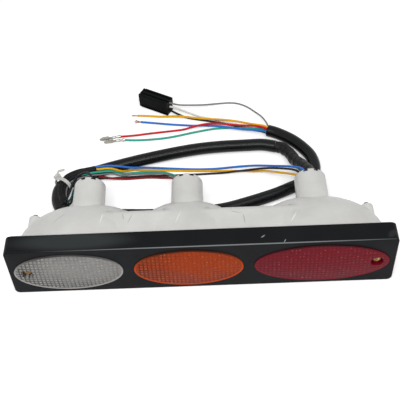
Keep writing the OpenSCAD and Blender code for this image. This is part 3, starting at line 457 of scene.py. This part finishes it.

# Colours of the wires' insulation, and darker copies of four of them, as painted shade on the leads and the red branch
# wire
WIRE_COLOURS = {"grey": "7D7D7D", "white": "E4E2DC", "black": "18191A", "yellow": "E8AC14", "blue": "2E70C8",
                "red": "CC0F1C", "green": "33A591"}
SHADED_WIRE_COLOURS = {"black": "131415", "green": "12463F", "blue": "0A0D16", "red": "7E0C12"}
SHADED_WIRES = ("lead_black", "lead_green", "lead_blue", "branch_red")

# Bare strands: length, number, spread and turns, and how many points of the route the insulation gives up
STRANDS = {"tail_yellow": (7 * MM, 9, 0.3, 1.2), "tail_blue": (7 * MM, 9, 4.0, 0.4)}
BARE_POINTS = 3
# One strand: diameter, distance from the middle one in diameters, share by which its length is its own, how
# far it starts inside the insulation, rings and points
STRAND_D = 0.4 * MM
STRAND_SPACING = 1.05
STRAND_UNEVEN = 0.2
STRAND_ENTRY = 1 * MM
STRAND_STEPS = 12
STRAND_SIDES = 6
# Step between the strands' places in a noise, and the third coordinate of those places
STRAND_PLACES = (3.1, 0.5)

# Mounting screws: how far from the middle they stand, and the thread that shows at their ends
SCREW_X = 158 * MM
THREAD_Y = (0.0127, 0.0162)
THREAD_D = 5.5 * MM
THREAD_PITCH = 0.9 * MM
THREAD_DEPTH = 0.4 * MM
THREAD_STEPS = 60
THREAD_SIDES = 24
# Pan heads of the mounting screws: where they stand on their flanges, radius, rise, cross recess and its
# turn in radians, rings and points
HEAD_Y = -48.55 * MM
HEAD_R = 4.1 * MM
HEAD_RISE = 1.3 * MM
CROSS_LENGTH = 4.8 * MM
CROSS_WIDTH = 1.3 * MM
CROSS_DEPTH = 1.2 * MM
CROSS_TURN = 0.35
HEAD_RINGS = 14
HEAD_SIDES = 48

# Studio: the floor's size and colour, how much of its white is there without light, the strength of the
# room's light on the object, and each lamp's place, aim, size and watts
FLOOR_SIZE = 12
FLOOR_COLOUR = "F7F7F7"
FLOOR_LIFT = 0.33
WORLD_FILL = 0.4
LAMPS = {
    "key": ((-0.1, -0.85, 1.33), (0, 0.03, 0.03), (1.4, 0.16), 12.5),
    "top": ((0.1, -0.3, 1.4), (0, 0.03, 0.03), (1.4, 0.12), 4.6),
}


def smooth(points, low, steps):
    """Points along a smooth curve through a route, none lower than a cord that lies on the table."""
    p = [Vector(q) for q in points]
    last = len(p) - 1
    curve = []
    for i in range(last):
        a, b, c, d = p[max(i - 1, 0)], p[i], p[i + 1], p[min(i + 2, last)]
        for k in range(steps):
            t = k / steps
            curve.append((2 * b + (c - a) * t + (2 * a - 5 * b + 4 * c - d) * t * t
                          + (3 * b - a - 3 * c + d) * t ** 3) / 2)
    curve.append(p[last])
    for q in curve:
        q.z = max(q.z, low)
    return curve


def length_of(points):
    """Length of the line through some points."""
    return sum((b - a).length for a, b in zip(points, points[1:]))


def link(name, data):
    """New piece of the object, which stands on its one body."""
    piece = bpy.data.objects.new(name, data)
    bpy.context.scene.collection.objects.link(piece)
    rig.ride(piece, "root")
    return piece


def frames_along(path):
    """Sideways and upward directions across a path, turned as little as they can be."""
    side = None
    frames = []
    for i in range(len(path)):
        along = (path[min(i + 1, len(path) - 1)] - path[max(i - 1, 0)]).normalized()
        if side is None:
            side = along.cross(Vector((0, 0, 1))).normalized()
        side = (side - along * side.dot(along)).normalized()
        frames.append((side, side.cross(along)))
    return frames


def ring(middle, side, up, radii):
    """Points round a middle, each at its own radius."""
    turns = (2 * math.pi * k / len(radii) for k in range(len(radii)))
    return [middle + r * (math.cos(t) * side + math.sin(t) * up) for r, t in zip(radii, turns)]


def tube(path, radius_at, sides):
    """Rings along a path, whose radius may change along and round it."""
    rings, run = [], 0
    for i, (q, (side, up)) in enumerate(zip(path, frames_along(path))):
        run += (q - path[i - 1]).length if i else 0
        rings.append(ring(q, side, up, [radius_at(run, 2 * math.pi * k / sides, q) for k in range(sides)]))
    return rings


def bored(rings, path, bore, depth):
    """The same rings with an open far end: a rounded lip, then the wall of the bore back to its floor."""
    sides = len(rings[0])
    side, up = frames_along(path)[-1]
    inward = (path[-2] - path[-1]).normalized()
    outside = (rings[-1][0] - path[-1]).length
    for back, reach in ((-LIP_RISE, (bore + outside) / 2), (0, bore), (depth, bore)):
        rings.append(ring(path[-1] + inward * back, side, up, [reach] * sides))
    return rings


def piece_of(name, tubes):
    """One piece from several closed tubes, each a list of rings."""
    verts, faces = [], []
    for rings in tubes:
        first, sides = len(verts), len(rings[0])
        verts += [q for one in rings for q in one]
        for j in range(first, first + (len(rings) - 1) * sides, sides):
            for k in range(sides):
                n = (k + 1) % sides
                faces.append((j + k, j + sides + k, j + sides + n, j + n))
        faces.append(tuple(range(first, first + sides)))
        faces.append(tuple(reversed(range(len(verts) - sides, len(verts)))))
    mesh = bpy.data.meshes.new(name)
    mesh.from_pydata(verts, [], faces)
    mesh.polygons.foreach_set("use_smooth", [len(face) == 4 for face in faces])
    mesh.update()
    return link(name, mesh)


def wire(name, diameter):
    """Round wire along its route, run on into what it comes out of and what it ends in, or stripped there."""
    path = smooth(ROUTES[name], diameter / 2, WIRE_STEPS)
    path.insert(0, path[0] + (path[0] - path[1]).normalized() * WIRE_ENTRY)
    if name in STRANDS:
        del path[-BARE_POINTS:]
    else:
        path.append(path[-1] + (path[-1] - path[-2]).normalized() * WIRE_ENTRY)
    piece = piece_of("wire_" + name, [tube(path, lambda run, angle, q: diameter / 2, WIRE_SIDES)])
    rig.replaces(piece, name)
    return piece, path


def linear(code):
    """Linear colour of an sRGB hex value."""
    def channel(text):
        c = int(text, 16) / 255
        return c / 12.92 if c <= 0.04045 else ((c + 0.055) / 1.055) ** 2.4
    return (*(channel(code[i:i + 2]) for i in (0, 2, 4)), 1)


def add(tree, kind, inputs=(), **settings):
    """Adds a node with its settings, and feeds its inputs with values or with other nodes' outputs.

    A list feeds the inputs in their order: a Map Range takes its value, from, from, to and to. A dict goes
    by name or number: a Mix of colours has its share at 0 and its two colours at 6 and 7.
    """
    node = tree.nodes.new(kind)
    for name, value in settings.items():
        setattr(node, name, value)
    for key, value in (inputs.items() if isinstance(inputs, dict) else enumerate(inputs)):
        if isinstance(value, bpy.types.NodeSocket):
            tree.links.new(value, node.inputs[key])
        else:
            node.inputs[key].default_value = value
    return node


def begin(name, **sockets):
    """New material, and its surface: its tree, its shader with these sockets set, and the place on it."""
    material = bpy.data.materials.new(name)
    material.use_nodes = True
    tree = material.node_tree
    tree.nodes.clear()
    shader = add(tree, "ShaderNodeBsdfPrincipled", {key.replace("_", " "): v for key, v in sockets.items()})
    add(tree, "ShaderNodeOutputMaterial", {"Surface": shader.outputs[0]})
    return material, (tree, shader, add(tree, "ShaderNodeTexCoord").outputs["Object"])


def marked(tree, place, colour, marks):
    """Colour with soft lines drawn over it, each an ellipsoid round two points on the surface."""
    for start, end, width, code in marks:
        start, end = Vector(start) * MM, Vector(end) * MM
        along = end - start
        half = (along.length / 2 + width * MM, width * MM, 2 * width * MM)
        turn = along.to_track_quat("X", "Z").to_euler()
        moved = add(tree, "ShaderNodeMapping", {"Vector": place, "Location": (start + end) / 2,
                                                "Rotation": turn, "Scale": half},
                    vector_type="TEXTURE").outputs[0]
        ball = add(tree, "ShaderNodeTexGradient", [moved], gradient_type="SPHERICAL").outputs[1]
        share = add(tree, "ShaderNodeMapRange", [ball, 0.0, MARK_FADE], interpolation_type="SMOOTHSTEP")
        colour = add(tree, "ShaderNodeMix", {0: share.outputs[0], 6: colour, 7: linear(code)},
                     data_type="RGBA").outputs[2]
    return colour


def mottled(surface, size_mm, dark, light, detail=3, fineness=0.5, marks=()):
    """Colour that drifts from dark to light in patches about size_mm across, with marks drawn over it."""
    tree, shader, place = surface
    patches = add(tree, "ShaderNodeTexNoise", {"Vector": place, "Scale": 1 / (size_mm * MM),
                                               "Detail": detail, "Roughness": fineness}).outputs[0]
    share = add(tree, "ShaderNodeMapRange", [patches, NOISE_LOW, NOISE_HIGH]).outputs[0]
    colour = add(tree, "ShaderNodeMix", {0: share, 6: linear(dark), 7: linear(light)},
                 data_type="RGBA").outputs[2]
    tree.links.new(marked(tree, place, colour, marks), shader.inputs["Base Color"])


def uneven(surface, size_mm, low, high, detail=3, fineness=0.5):
    """Roughness that drifts between two values in patches about size_mm across."""
    tree, shader, place = surface
    patches = add(tree, "ShaderNodeTexNoise", {"Vector": place, "Scale": 1 / (size_mm * MM),
                                               "Detail": detail, "Roughness": fineness}).outputs[0]
    rough = add(tree, "ShaderNodeMapRange", [patches, NOISE_LOW, NOISE_HIGH, low, high]).outputs[0]
    tree.links.new(rough, shader.inputs["Roughness"])


def textured(surface, size_mm, depth_mm, detail=3, fineness=0.5, under=None):
    """Bumps about size_mm across and at most depth_mm high, on the plain surface or on a rounded one."""
    tree, shader, place = surface
    height = add(tree, "ShaderNodeTexNoise", {"Vector": place, "Scale": 1 / (size_mm * MM),
                                              "Detail": detail, "Roughness": fineness}).outputs[0]
    bumps = add(tree, "ShaderNodeBump", {"Height": height, "Distance": depth_mm * MM, "Strength": 1.0})
    if under:
        tree.links.new(under, bumps.inputs["Normal"])
    tree.links.new(bumps.outputs[0], shader.inputs["Normal"])


def black_abs():
    """Moulded ABS with a spark-eroded texture: near black, satin, with a faint grey bloom, pale scuffs, and a painted
    sheen, reflection and edge highlight.
    """
    material, surface = begin("black_abs", IOR=1.53, Specular_IOR_Level=0.07)
    mottled(surface, 45, "0F1012", "151719", detail=4, marks=BEZEL_SCUFFS_AND_PAINTED_LIGHT)
    uneven(surface, 12, 0.40, 0.52)
    # The real texture is 0.1 mm across: it is drawn 0.7 mm across, so that it shows
    textured(surface, 0.7, 0.03, detail=2)
    return material


def white_polypropylene():
    """Moulded polypropylene: milky and half glossy, with painted highlights and painted shade along its creases, and
    soft edges where the bowls meet.
    """
    material, surface = begin("white_polypropylene", IOR=1.49, Subsurface_Weight=0.06,
                              Subsurface_Radius=(1, 1, 1), Subsurface_Scale=1.5 * MM)
    mottled(surface, 38, "C9C8C5", "D8D8D5", detail=5, fineness=0.6, marks=HOUSING_PAINTED_LIGHT_AND_SHADE)
    uneven(surface, 9, 0.34, 0.46)
    soft_edge = add(surface[0], "ShaderNodeBevel", {"Radius": 1.4 * MM}, samples=6).outputs[0]
    textured(surface, 2.5, 0.06, detail=4, under=soft_edge)
    return material


def moulded_acrylic(name, middle, size, groove, face, spark, rim, contrast):
    """Moulded acrylic: a thin gloss over a grid of prisms, with painted shade in the grooves that grows away from one
    place.
    """
    material, (tree, shader, place) = begin(name, IOR=1.49, Roughness=0.3, Specular_IOR_Level=0.02,
                                            Coat_Weight=0.16, Coat_Roughness=0.05, Coat_IOR=1.49)
    # Each prism is a pyramid: its height goes from 0 in the grooves round it to 0.5 at its point
    cells = add(tree, "ShaderNodeMapping", {"Vector": place, "Location": middle, "Scale": (PRISM_PITCH,) * 3},
                vector_type="TEXTURE").outputs[0]
    split = add(tree, "ShaderNodeSeparateXYZ", [cells])
    across = add(tree, "ShaderNodeMath", [split.outputs["X"], 0.5], operation="PINGPONG").outputs[0]
    upward = add(tree, "ShaderNodeMath", [split.outputs["Z"], 0.5], operation="PINGPONG").outputs[0]
    height = add(tree, "ShaderNodeMath", [across, upward], operation="MINIMUM").outputs[0]
    # Place in the oval, where 1 is the inner edge of the plain rim
    inner = [s / 2 - LENS_RIM for s in size]
    spread = add(tree, "ShaderNodeMapping", {"Vector": place, "Location": middle,
                                             "Scale": (inner[0], 1, inner[1])},
                 vector_type="TEXTURE").outputs[0]
    flat = add(tree, "ShaderNodeVectorMath", [spread, (1, 0, 1)], operation="MULTIPLY").outputs[0]
    radius = add(tree, "ShaderNodeVectorMath", [flat], operation="LENGTH").outputs["Value"]
    # Painted shade in the grooves grows away from the calm place, and in patches
    away = add(tree, "ShaderNodeVectorMath", [flat, LENS_CALM], operation="DISTANCE").outputs["Value"]
    patches = add(tree, "ShaderNodeTexNoise", {"Vector": place, "Scale": 1 / (GROOVE_PATCH_MM * MM),
                                               "Detail": 2, "Roughness": 0.5}).outputs[0]
    patchy = add(tree, "ShaderNodeMath", [away, patches], operation="ADD").outputs[0]
    depth = add(tree, "ShaderNodeMapRange", [patchy, *GROOVE_DISTANCES, GROOVE_LEAST, contrast]).outputs[0]
    low = add(tree, "ShaderNodeMapRange", [height, *GROOVE_HEIGHTS, 1.0, 0.0]).outputs[0]
    dark = add(tree, "ShaderNodeMath", [low, depth], operation="MULTIPLY").outputs[0]
    # Every quarter of a prism sends back its own share of light. It is the same at all depths
    quarter = add(tree, "ShaderNodeVectorMath", [cells, (0.5, 1000, 0.5)], operation="SNAP").outputs[0]
    own = add(tree, "ShaderNodeTexWhiteNoise", {"Vector": quarter}, noise_dimensions="3D").outputs[0]
    shade = add(tree, "ShaderNodeMapRange", [own, 0.0, 1.0, 0.0, QUARTER_SHADE]).outputs[0]
    dark = add(tree, "ShaderNodeMath", [dark, shade], operation="ADD", use_clamp=True).outputs[0]
    colour = add(tree, "ShaderNodeMix", {0: dark, 6: linear(face), 7: linear(groove)},
                 data_type="RGBA").outputs[2]
    # Some points get a painted glint
    near_point = add(tree, "ShaderNodeMapRange", [height, *POINT_HEIGHTS]).outputs[0]
    lit = add(tree, "ShaderNodeMapRange", [own, *SPARK_NUMBERS, 0.0, SPARK_MOST]).outputs[0]
    peak = add(tree, "ShaderNodeMath", [lit, near_point], operation="MULTIPLY").outputs[0]
    colour = add(tree, "ShaderNodeMix", {0: peak, 6: colour, 7: linear(spark)}, data_type="RGBA").outputs[2]
    # The rim has no prisms: it has a painted highlight below and painted shade above
    upright = add(tree, "ShaderNodeSeparateXYZ", [flat]).outputs["Z"]
    above = add(tree, "ShaderNodeMapRange", [upright, *RIM_HEIGHTS]).outputs[0]
    rim_highlight_and_shade = add(tree, "ShaderNodeMix", {0: above, 6: linear(rim), 7: linear(groove)},
                     data_type="RGBA").outputs[2]
    edge = add(tree, "ShaderNodeMapRange", [radius, *RIM_EDGE]).outputs[0]
    colour = add(tree, "ShaderNodeMix", {0: edge, 6: colour, 7: rim_highlight_and_shade}, data_type="RGBA").outputs[2]
    tree.links.new(colour, shader.inputs["Base Color"])
    inside = add(tree, "ShaderNodeMath", [1.0, edge], operation="SUBTRACT").outputs[0]
    steep = add(tree, "ShaderNodeMath", [height, inside], operation="MULTIPLY").outputs[0]
    # A point's height counts 0.5, so a height of 1 is twice the prisms' depth
    bumps = add(tree, "ShaderNodeBump", {"Height": steep, "Distance": 2 * PRISM_DEPTH,
                                         "Strength": PRISM_BUMP})
    tree.links.new(bumps.outputs[0], shader.inputs["Normal"])
    return material


def soft_vinyl(name, code):
    """Extruded PVC, as on a wire: one clear colour, a soft gloss and slight ripples."""
    material, surface = begin(name, IOR=1.53, Specular_IOR_Level=0.16, Base_Color=linear(code))
    uneven(surface, 6, 0.29, 0.42)
    textured(surface, 1.6, 0.05, detail=2)
    return material


def black_sleeving():
    """Extruded soft PVC sleeving: deep black, with one long soft gloss and faint handling marks."""
    material, surface = begin("black_pvc_sleeving", IOR=1.53, Specular_IOR_Level=0.15)
    mottled(surface, 14, "0B0C0D", "141517", detail=5)
    uneven(surface, 12, 0.2, 0.26, detail=2)
    textured(surface, 14, 0.02, detail=2)
    return material


def vinyl_tape():
    """Wound vinyl tape: glossy black where it is stretched, dull and greyer in its creases."""
    material, surface = begin("black_vinyl_tape", IOR=1.52, Specular_IOR_Level=0.12)
    creases = {"size_mm": 5, "detail": 6, "fineness": 0.65}
    mottled(surface, dark="0C0C0D", light="1E1F20", **creases)
    uneven(surface, low=0.24, high=0.5, **creases)
    textured(surface, depth_mm=0.9, **creases)
    return material


def black_nylon():
    """Moulded nylon of the plug: black, satin, with an even texture."""
    material, surface = begin("black_nylon", IOR=1.53, Specular_IOR_Level=0.04)
    mottled(surface, 9, "090A0B", "101112")
    uneven(surface, 4, 0.36, 0.5)
    # The real texture is 0.1 mm across: it is drawn 0.8 mm across, so that it shows
    textured(surface, 0.8, 0.04)
    return material


def natural_nylon():
    """Moulded natural nylon of the cable tie: a waxy, faintly yellow white that light enters a little."""
    material, surface = begin("natural_nylon", IOR=1.53, Subsurface_Weight=0.2,
                              Subsurface_Radius=(1, 0.9, 0.8), Subsurface_Scale=1 * MM)
    mottled(surface, 4, "BDBCB6", "CFCEC9")
    uneven(surface, 3, 0.34, 0.46)
    return material


def black_rubber(name):
    """Pressed rubber: matt, dark grey, with a dusty bloom."""
    material, surface = begin(name, IOR=1.52)
    mottled(surface, 5, "141414", "262625", detail=5)
    uneven(surface, 3, 0.6, 0.8)
    # The real grain is 0.2 mm across: it is drawn 1.2 mm across, so that it shows
    textured(surface, 1.2, 0.05)
    return material


def worked_metal(name):
    """Drawn or plated metal: coloured reflections, broken up by fine marks and a patchy tarnish."""
    dark, light, low, high, marks_mm = METALS[name]
    material, surface = begin(name, Metallic=1.0)
    mottled(surface, 3, dark, light, detail=5)
    uneven(surface, 1.5, low, high)
    textured(surface, marks_mm, 0.04, detail=2)
    return material


def oiled_yellow_zinc():
    """Rolled thread under yellow zinc: brown with oil and dust, which dull the metal."""
    material, surface = begin("oiled_yellow_zinc", Metallic=0.6, Specular_IOR_Level=0.2)
    mottled(surface, 1.5, "2E1E0C", "6B4A20", detail=4)
    uneven(surface, 1, 0.4, 0.6)
    return material


def blown_glass():
    """Blown soda glass of a bulb: clear, with slight waves."""
    material, surface = begin("soda_glass", IOR=1.52, Roughness=0.02, Transmission_Weight=1.0)
    textured(surface, 8, 0.08, detail=1)
    return material


def pressed_phenolic():
    """Pressed phenolic sheet: brown, slightly mottled and dull."""
    material, surface = begin("phenolic_sheet", IOR=1.6)
    mottled(surface, 2, "4A2F1B", "6B4629", detail=5)
    uneven(surface, 2, 0.45, 0.6)
    return material


def paint(piece, material, slot=None):
    """Gives a piece one finish all over."""
    piece.data.materials.clear()
    piece.data.materials.append(material)
    if slot:
        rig.slot(piece, slot)
    return piece


def eased(node, material):
    """Copy of a moulding as one skin that shades smoothly and stays sharp at its creases."""
    source = frame["nodes"][node].data
    mesh = bpy.data.meshes.new(node + "_skin")
    mesh.from_pydata([v.co for v in source.vertices], [], [tuple(face.vertices) for face in source.polygons])
    skin = bmesh.new()
    skin.from_mesh(mesh)
    bmesh.ops.remove_doubles(skin, verts=skin.verts, dist=WELD)
    for edge in skin.edges:
        edge.smooth = edge.calc_face_angle(0) < math.radians(CREASE_DEGREES)
    for face in skin.faces:
        face.smooth = True
    skin.to_mesh(mesh)
    skin.free()
    piece = link(node + "_skin", mesh)
    even = piece.modifiers.new("even", "WEIGHTED_NORMAL")
    even.keep_sharp = True
    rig.replaces(piece, node)
    return paint(piece, material, record_slots[node])


def sheath_piece():
    """Soft sleeving: a little uneven along its length, and open where the wires come out."""
    path = smooth(ROUTES["sheath"], SHEATH_D / 2, SHEATH_STEPS)

    def radius_at(run, angle, q):
        drift = noise.noise(q / SHEATH_DRIFT_OVER) * SHEATH_DRIFT_MM
        return SHEATH_D / 2 - (SHEATH_INSET_MM - drift) * MM

    rings = bored(tube(path, radius_at, SHEATH_SIDES), path, SHEATH_D / 2 - SHEATH_WALL, SHEATH_OPEN)
    piece = piece_of("sheath_tube", [rings])
    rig.replaces(piece, "sheath")
    return piece, path


def tape_piece():
    """Wrinkled tape wound from the right neck to the sheath, each turn a step over the last."""
    path = smooth(ROUTES["tape"], TAPE_D / 2, TAPE_STEPS)
    over, covered = TAPE_LAP_MM

    def radius_at(run, angle, q):
        turn = (run / TAPE_PITCH + angle / (2 * math.pi)) % 1
        lap = (over - covered) * (1 - turn) + covered
        wrinkle = sum(depth * noise.noise(q / width) for depth, width in TAPE_WRINKLES)
        return TAPE_D / 2 + (lap + wrinkle - TAPE_INSET_MM) * MM

    piece = piece_of("junction_tape_wound", [tube(path, radius_at, TAPE_SIDES)])
    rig.replaces(piece, "junction_tape")
    return piece, path


def crossing(path, q, along):
    """Where a wire's path goes through the plane across the sheath at q, counted from q, if it is near."""
    for a, b in zip(path, path[1:]):
        before, after = (a - q).dot(along), (b - q).dot(along)
        if before * after <= 0 and before != after and (a - q).length < SHEATH_D:
            return a.lerp(b, before / (before - after)) - q
    return None


def bend_tape_piece(sheath_path, wire_paths):
    """Tape drawn down over the sheath and the wires beside it at the left bend, except the grey one."""
    path = [q for q in sheath_path if q.x < BEND_TAPE_X and q.y > BEND_TAPE_Y]
    cover = WIRE_D / 2 + BEND_TAPE_T
    covered = {}
    for name, wire_path in wire_paths.items():
        on = (wire_path[-1] - wire_path[-2]).normalized()
        covered[name] = [*wire_path, wire_path[-1] + on * BEND_TAPE_PAST - Vector((0, 0, WIRE_D))]
    rings = []
    for q, (side, up) in zip(path, frames_along(path)):
        thickness = BEND_TAPE_T * (1 + BEND_TAPE_UNEVEN * noise.noise(q / BEND_TAPE_PATCH))
        radii = [SHEATH_D / 2 + thickness] * BEND_TAPE_SIDES
        for name, wire_path in covered.items():
            out = crossing(wire_path, q, side.cross(up))
            if out is None or name == "branch_grey" or (name == "branch_green" and q.x > GREEN_UNDER_X):
                continue
            reach = math.hypot(out.dot(side), out.dot(up))
            bearing = math.atan2(out.dot(up), out.dot(side))
            for k in range(BEND_TAPE_SIDES):
                turn = 2 * math.pi * k / BEND_TAPE_SIDES - bearing
                off = reach * math.sin(turn)
                if abs(off) < cover and math.cos(turn) > 0:
                    radii[k] = max(radii[k], reach * math.cos(turn) + math.sqrt(cover ** 2 - off ** 2))
        rings.append([Vector((v.x, v.y, max(v.z, TABLE_GAP))) for v in ring(q, side, up, radii)])
    return piece_of("bend_tape", [rings])


def strand_piece(name, end, along, length, count, spread, turns):
    """Bare strands at a wire's end, twisted together and a little spread."""
    side = along.cross(Vector((0, 0, 1))).normalized()
    up = side.cross(along)
    step, level = STRAND_PLACES
    tubes = []
    for k in range(count):
        start = 2 * math.pi * k / (count - 1)
        own = noise.noise(Vector((k * step, length / MM, level)))
        path = []
        for i in range(STRAND_STEPS + 1):
            t = i / STRAND_STEPS
            reach = STRAND_D * (STRAND_SPACING + spread * t * t * (1 + own)) if k else 0
            angle = start + turns * 2 * math.pi * t
            q = end + along * (length * t * (1 + STRAND_UNEVEN * own))
            q += reach * (math.cos(angle) * side + math.sin(angle) * up)
            path.append(Vector((q.x, q.y, max(q.z, STRAND_D / 2))))
        tubes.append(tube(path, lambda run, angle, q: STRAND_D / 2, STRAND_SIDES))
    return piece_of(name, tubes)


def thread_piece(name, x, z):
    """Rolled thread on the end of a mounting screw, which stands out of its boss."""
    first, last = (Vector((x, y, z)) for y in THREAD_Y)
    path = [first.lerp(last, k / THREAD_STEPS) for k in range(THREAD_STEPS + 1)]

    def radius_at(run, angle, q):
        turn = (run / THREAD_PITCH - angle / (2 * math.pi)) % 1
        return THREAD_D / 2 - THREAD_DEPTH * abs(2 * turn - 1)

    return piece_of(name, [tube(path, radius_at, THREAD_SIDES)])


def screw_head_piece(name, x, z):
    """Pan head with a cross recess: rings from its flange to the middle, each point set down in the cross."""
    mesh = bpy.data.meshes.new(name)
    verts = []
    for j in range(HEAD_RINGS + 1):
        r = HEAD_R * (1 - j / HEAD_RINGS)
        # Nearly flat in the middle, and round at the edge
        dome = HEAD_RISE * math.sqrt(max(1 - (r / HEAD_R) ** 4, 0))
        for k in range(HEAD_SIDES):
            angle = 2 * math.pi * k / HEAD_SIDES
            u, v = r * math.cos(angle - CROSS_TURN), r * math.sin(angle - CROSS_TURN)
            arm = min(abs(u), abs(v)) < CROSS_WIDTH / 2 and r < CROSS_LENGTH / 2
            rise = dome - CROSS_DEPTH * arm
            verts.append((x + r * math.cos(angle), HEAD_Y - rise, z + r * math.sin(angle)))
    faces = [tuple(range(HEAD_SIDES))]
    for j in range(HEAD_RINGS - 1):
        for k in range(HEAD_SIDES):
            n = (k + 1) % HEAD_SIDES
            a, b = j * HEAD_SIDES, (j + 1) * HEAD_SIDES
            faces.append((a + k, b + k, b + n, a + n))
    last = (HEAD_RINGS - 1) * HEAD_SIDES
    faces += [(last + k, last + HEAD_SIDES, last + (k + 1) % HEAD_SIDES) for k in range(HEAD_SIDES)]
    mesh.from_pydata(verts[:last + HEAD_SIDES + 1], [], faces)
    mesh.polygons.foreach_set("use_smooth", [len(face) < 5 for face in faces])
    mesh.update()
    return link(name, mesh)


def dress_lamp():
    """Bezel, lenses, housing and everything inside them."""
    eased("bezel", black_abs())
    eased("rear_housing", white_polypropylene())
    for node, (name, *look) in LENS_LOOKS.items():
        eased(node, moulded_acrylic(name, LENS_MIDDLES[node], LENS_SIZES[node], *look))
    seal_rubber = black_rubber("seal_rubber")
    oiled_zinc = oiled_yellow_zinc()
    brass, nickel = worked_metal("drawn_brass"), worked_metal("nickel_plate")
    glass, board = blown_glass(), pressed_phenolic()
    finishes = {"lens_seal": seal_rubber, "screw_seals": seal_rubber, "mounting_screws": oiled_zinc}
    for where in ("left", "middle", "right"):
        finishes["bulb_glass_" + where] = glass
        finishes["bulb_base_" + where] = nickel
        finishes["socket_" + where] = brass
        finishes["contact_disc_" + where] = board
        eased("boot_" + where, black_rubber("boot_rubber_" + where))
    for node, material in finishes.items():
        paint(frame["nodes"][node], material)
    yellow_zinc = worked_metal("bright_yellow_zinc")
    for side, x in (("left", -SCREW_X), ("right", SCREW_X)):
        paint(thread_piece(side + "_thread", x, LENS_Z), oiled_zinc, record_slots["mounting_screws"])
        paint(screw_head_piece(side + "_screw_head", x, LENS_Z), yellow_zinc, record_slots["mounting_screws"])


def dress_harness():
    """Sheath, tape, wires and what is on their ends."""
    sheath, sheath_path = sheath_piece()
    paint(sheath, black_sleeving(), record_slots["sheath"])
    tape, tape_path = tape_piece()
    paint(tape, vinyl_tape(), record_slots["junction_tape"])
    tie = eased("cable_tie", natural_nylon())
    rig.cord(tape, exit=tape_path[0], length=length_of(tape_path), diameter=TAPE_D, far_end="object",
            stiffness="limp", lay="loose", path=tape_path)

    plug = eased("plug_housing", black_nylon())
    tinned, copper = worked_metal("tin_plate"), worked_metal("drawn_copper")
    blades = {colour: frame["nodes"]["crimp_terminal_" + colour] for colour in ("red", "green")}
    for piece in (frame["nodes"]["plug_terminals"], *blades.values()):
        paint(piece, tinned)
    vinyls = {colour: soft_vinyl(colour + "_pvc", code) for colour, code in WIRE_COLOURS.items()}
    # Darker copies of some colours, as painted shade
    shaded_vinyls = {colour: soft_vinyl("dark_" + colour + "_pvc", code)
                   for colour, code in SHADED_WIRE_COLOURS.items()}
    ends = {"tail_grey": ("plug", [plug, frame["nodes"]["plug_terminals"]]), "tail_white": ("plug", [plug]),
            "tail_black": ("plug", [plug]), "tail_red": ("connector", [blades["red"]]),
            "tail_green": ("connector", [blades["green"]]), "tail_yellow": ("bare", []),
            "tail_blue": ("bare", [])}
    branch_paths = {}
    for name in ROUTES:
        if name in ("sheath", "tape"):
            continue
        colour = name.split("_")[1]
        diameter = THIN_WIRE_D if name in THIN_WIRES else WIRE_D
        far_end, carried = ends.get(name, ("object", []))
        piece, path = wire(name, diameter)
        # The leads and the red branch wire take the darker copies: painted shade
        paint(piece, (shaded_vinyls if name in SHADED_WIRES else vinyls)[colour], record_slots[name])
        if far_end == "bare":
            along = (path[-1] - path[-2]).normalized()
            bundle = strand_piece(name + "_strands", path[-1] - along * STRAND_ENTRY, along, *STRANDS[name])
            paint(bundle, copper, record_slots["bare_strands"])
            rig.replaces(bundle, "bare_strands")
            carried = [bundle]
        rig.cord(piece, exit=path[0], length=length_of(path), diameter=diameter, far_end=far_end,
                stiffness="limp", lay="loose", path=path, with_pieces=carried)
        if name.startswith("branch"):
            branch_paths[name] = path

    bend_tape = bend_tape_piece(sheath_path, branch_paths)
    paint(bend_tape, vinyl_tape(), record_slots["junction_tape"])
    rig.cord(sheath, exit=sheath_path[0], length=length_of(sheath_path), diameter=SHEATH_D, far_end="bare",
            stiffness="limp", lay="loose", path=sheath_path, with_pieces=[tie, bend_tape])


def seen_white(tree):
    """1 for rays from the camera, off gloss and through glass, and 0 for light that falls on the object."""
    rays = add(tree, "ShaderNodeLightPath")
    seen = rays.outputs["Is Camera Ray"]
    for kind in ("Is Glossy Ray", "Is Transmission Ray"):
        seen = add(tree, "ShaderNodeMath", [seen, rays.outputs[kind]], operation="MAXIMUM").outputs[0]
    return seen


def studio():
    """Pale floor that keeps the shadow, white surroundings and two soft lamps."""
    bpy.ops.mesh.primitive_plane_add(size=FLOOR_SIZE)
    floor = bpy.context.object
    floor.name = "floor"
    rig.stage(floor)
    # Matt paper: a plain white without gloss
    material, (tree, shader, _) = begin("matt_paper", Base_Color=linear(FLOOR_COLOUR), Roughness=1.0,
                                        Specular_IOR_Level=0.0, Emission_Color=linear("FFFFFF"))
    lift = add(tree, "ShaderNodeMath", [seen_white(tree), FLOOR_LIFT], operation="MULTIPLY").outputs[0]
    tree.links.new(lift, shader.inputs["Emission Strength"])
    floor.data.materials.append(material)

    world = bpy.data.worlds.new("white_room")
    bpy.context.scene.world = world
    world.use_nodes = True
    tree = world.node_tree
    tree.nodes.clear()
    strength = add(tree, "ShaderNodeMapRange", [seen_white(tree), 0.0, 1.0, WORLD_FILL, 1.0]).outputs[0]
    light = add(tree, "ShaderNodeBackground", {"Color": linear("FFFFFF"), "Strength": strength})
    add(tree, "ShaderNodeOutputWorld", {"Surface": light.outputs[0]})

    for name, (at, aim, size, watts) in LAMPS.items():
        data = bpy.data.lights.new(name, "AREA")
        data.shape = "RECTANGLE"
        data.size, data.size_y = size
        data.energy = watts
        lamp = bpy.data.objects.new(name, data)
        lamp.location = at
        lamp.rotation_euler = (Vector(aim) - Vector(at)).to_track_quat("-Z", "Y").to_euler()
        bpy.context.scene.collection.objects.link(lamp)


dress_lamp()
dress_harness()
studio()
bpy.context.scene.view_settings.view_transform = "Standard"

low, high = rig.bounds()
with open("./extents.json", "w") as out:
    json.dump({"cad": [list(cad_low), list(cad_high)], "visual": [list(low), list(high)]}, out)
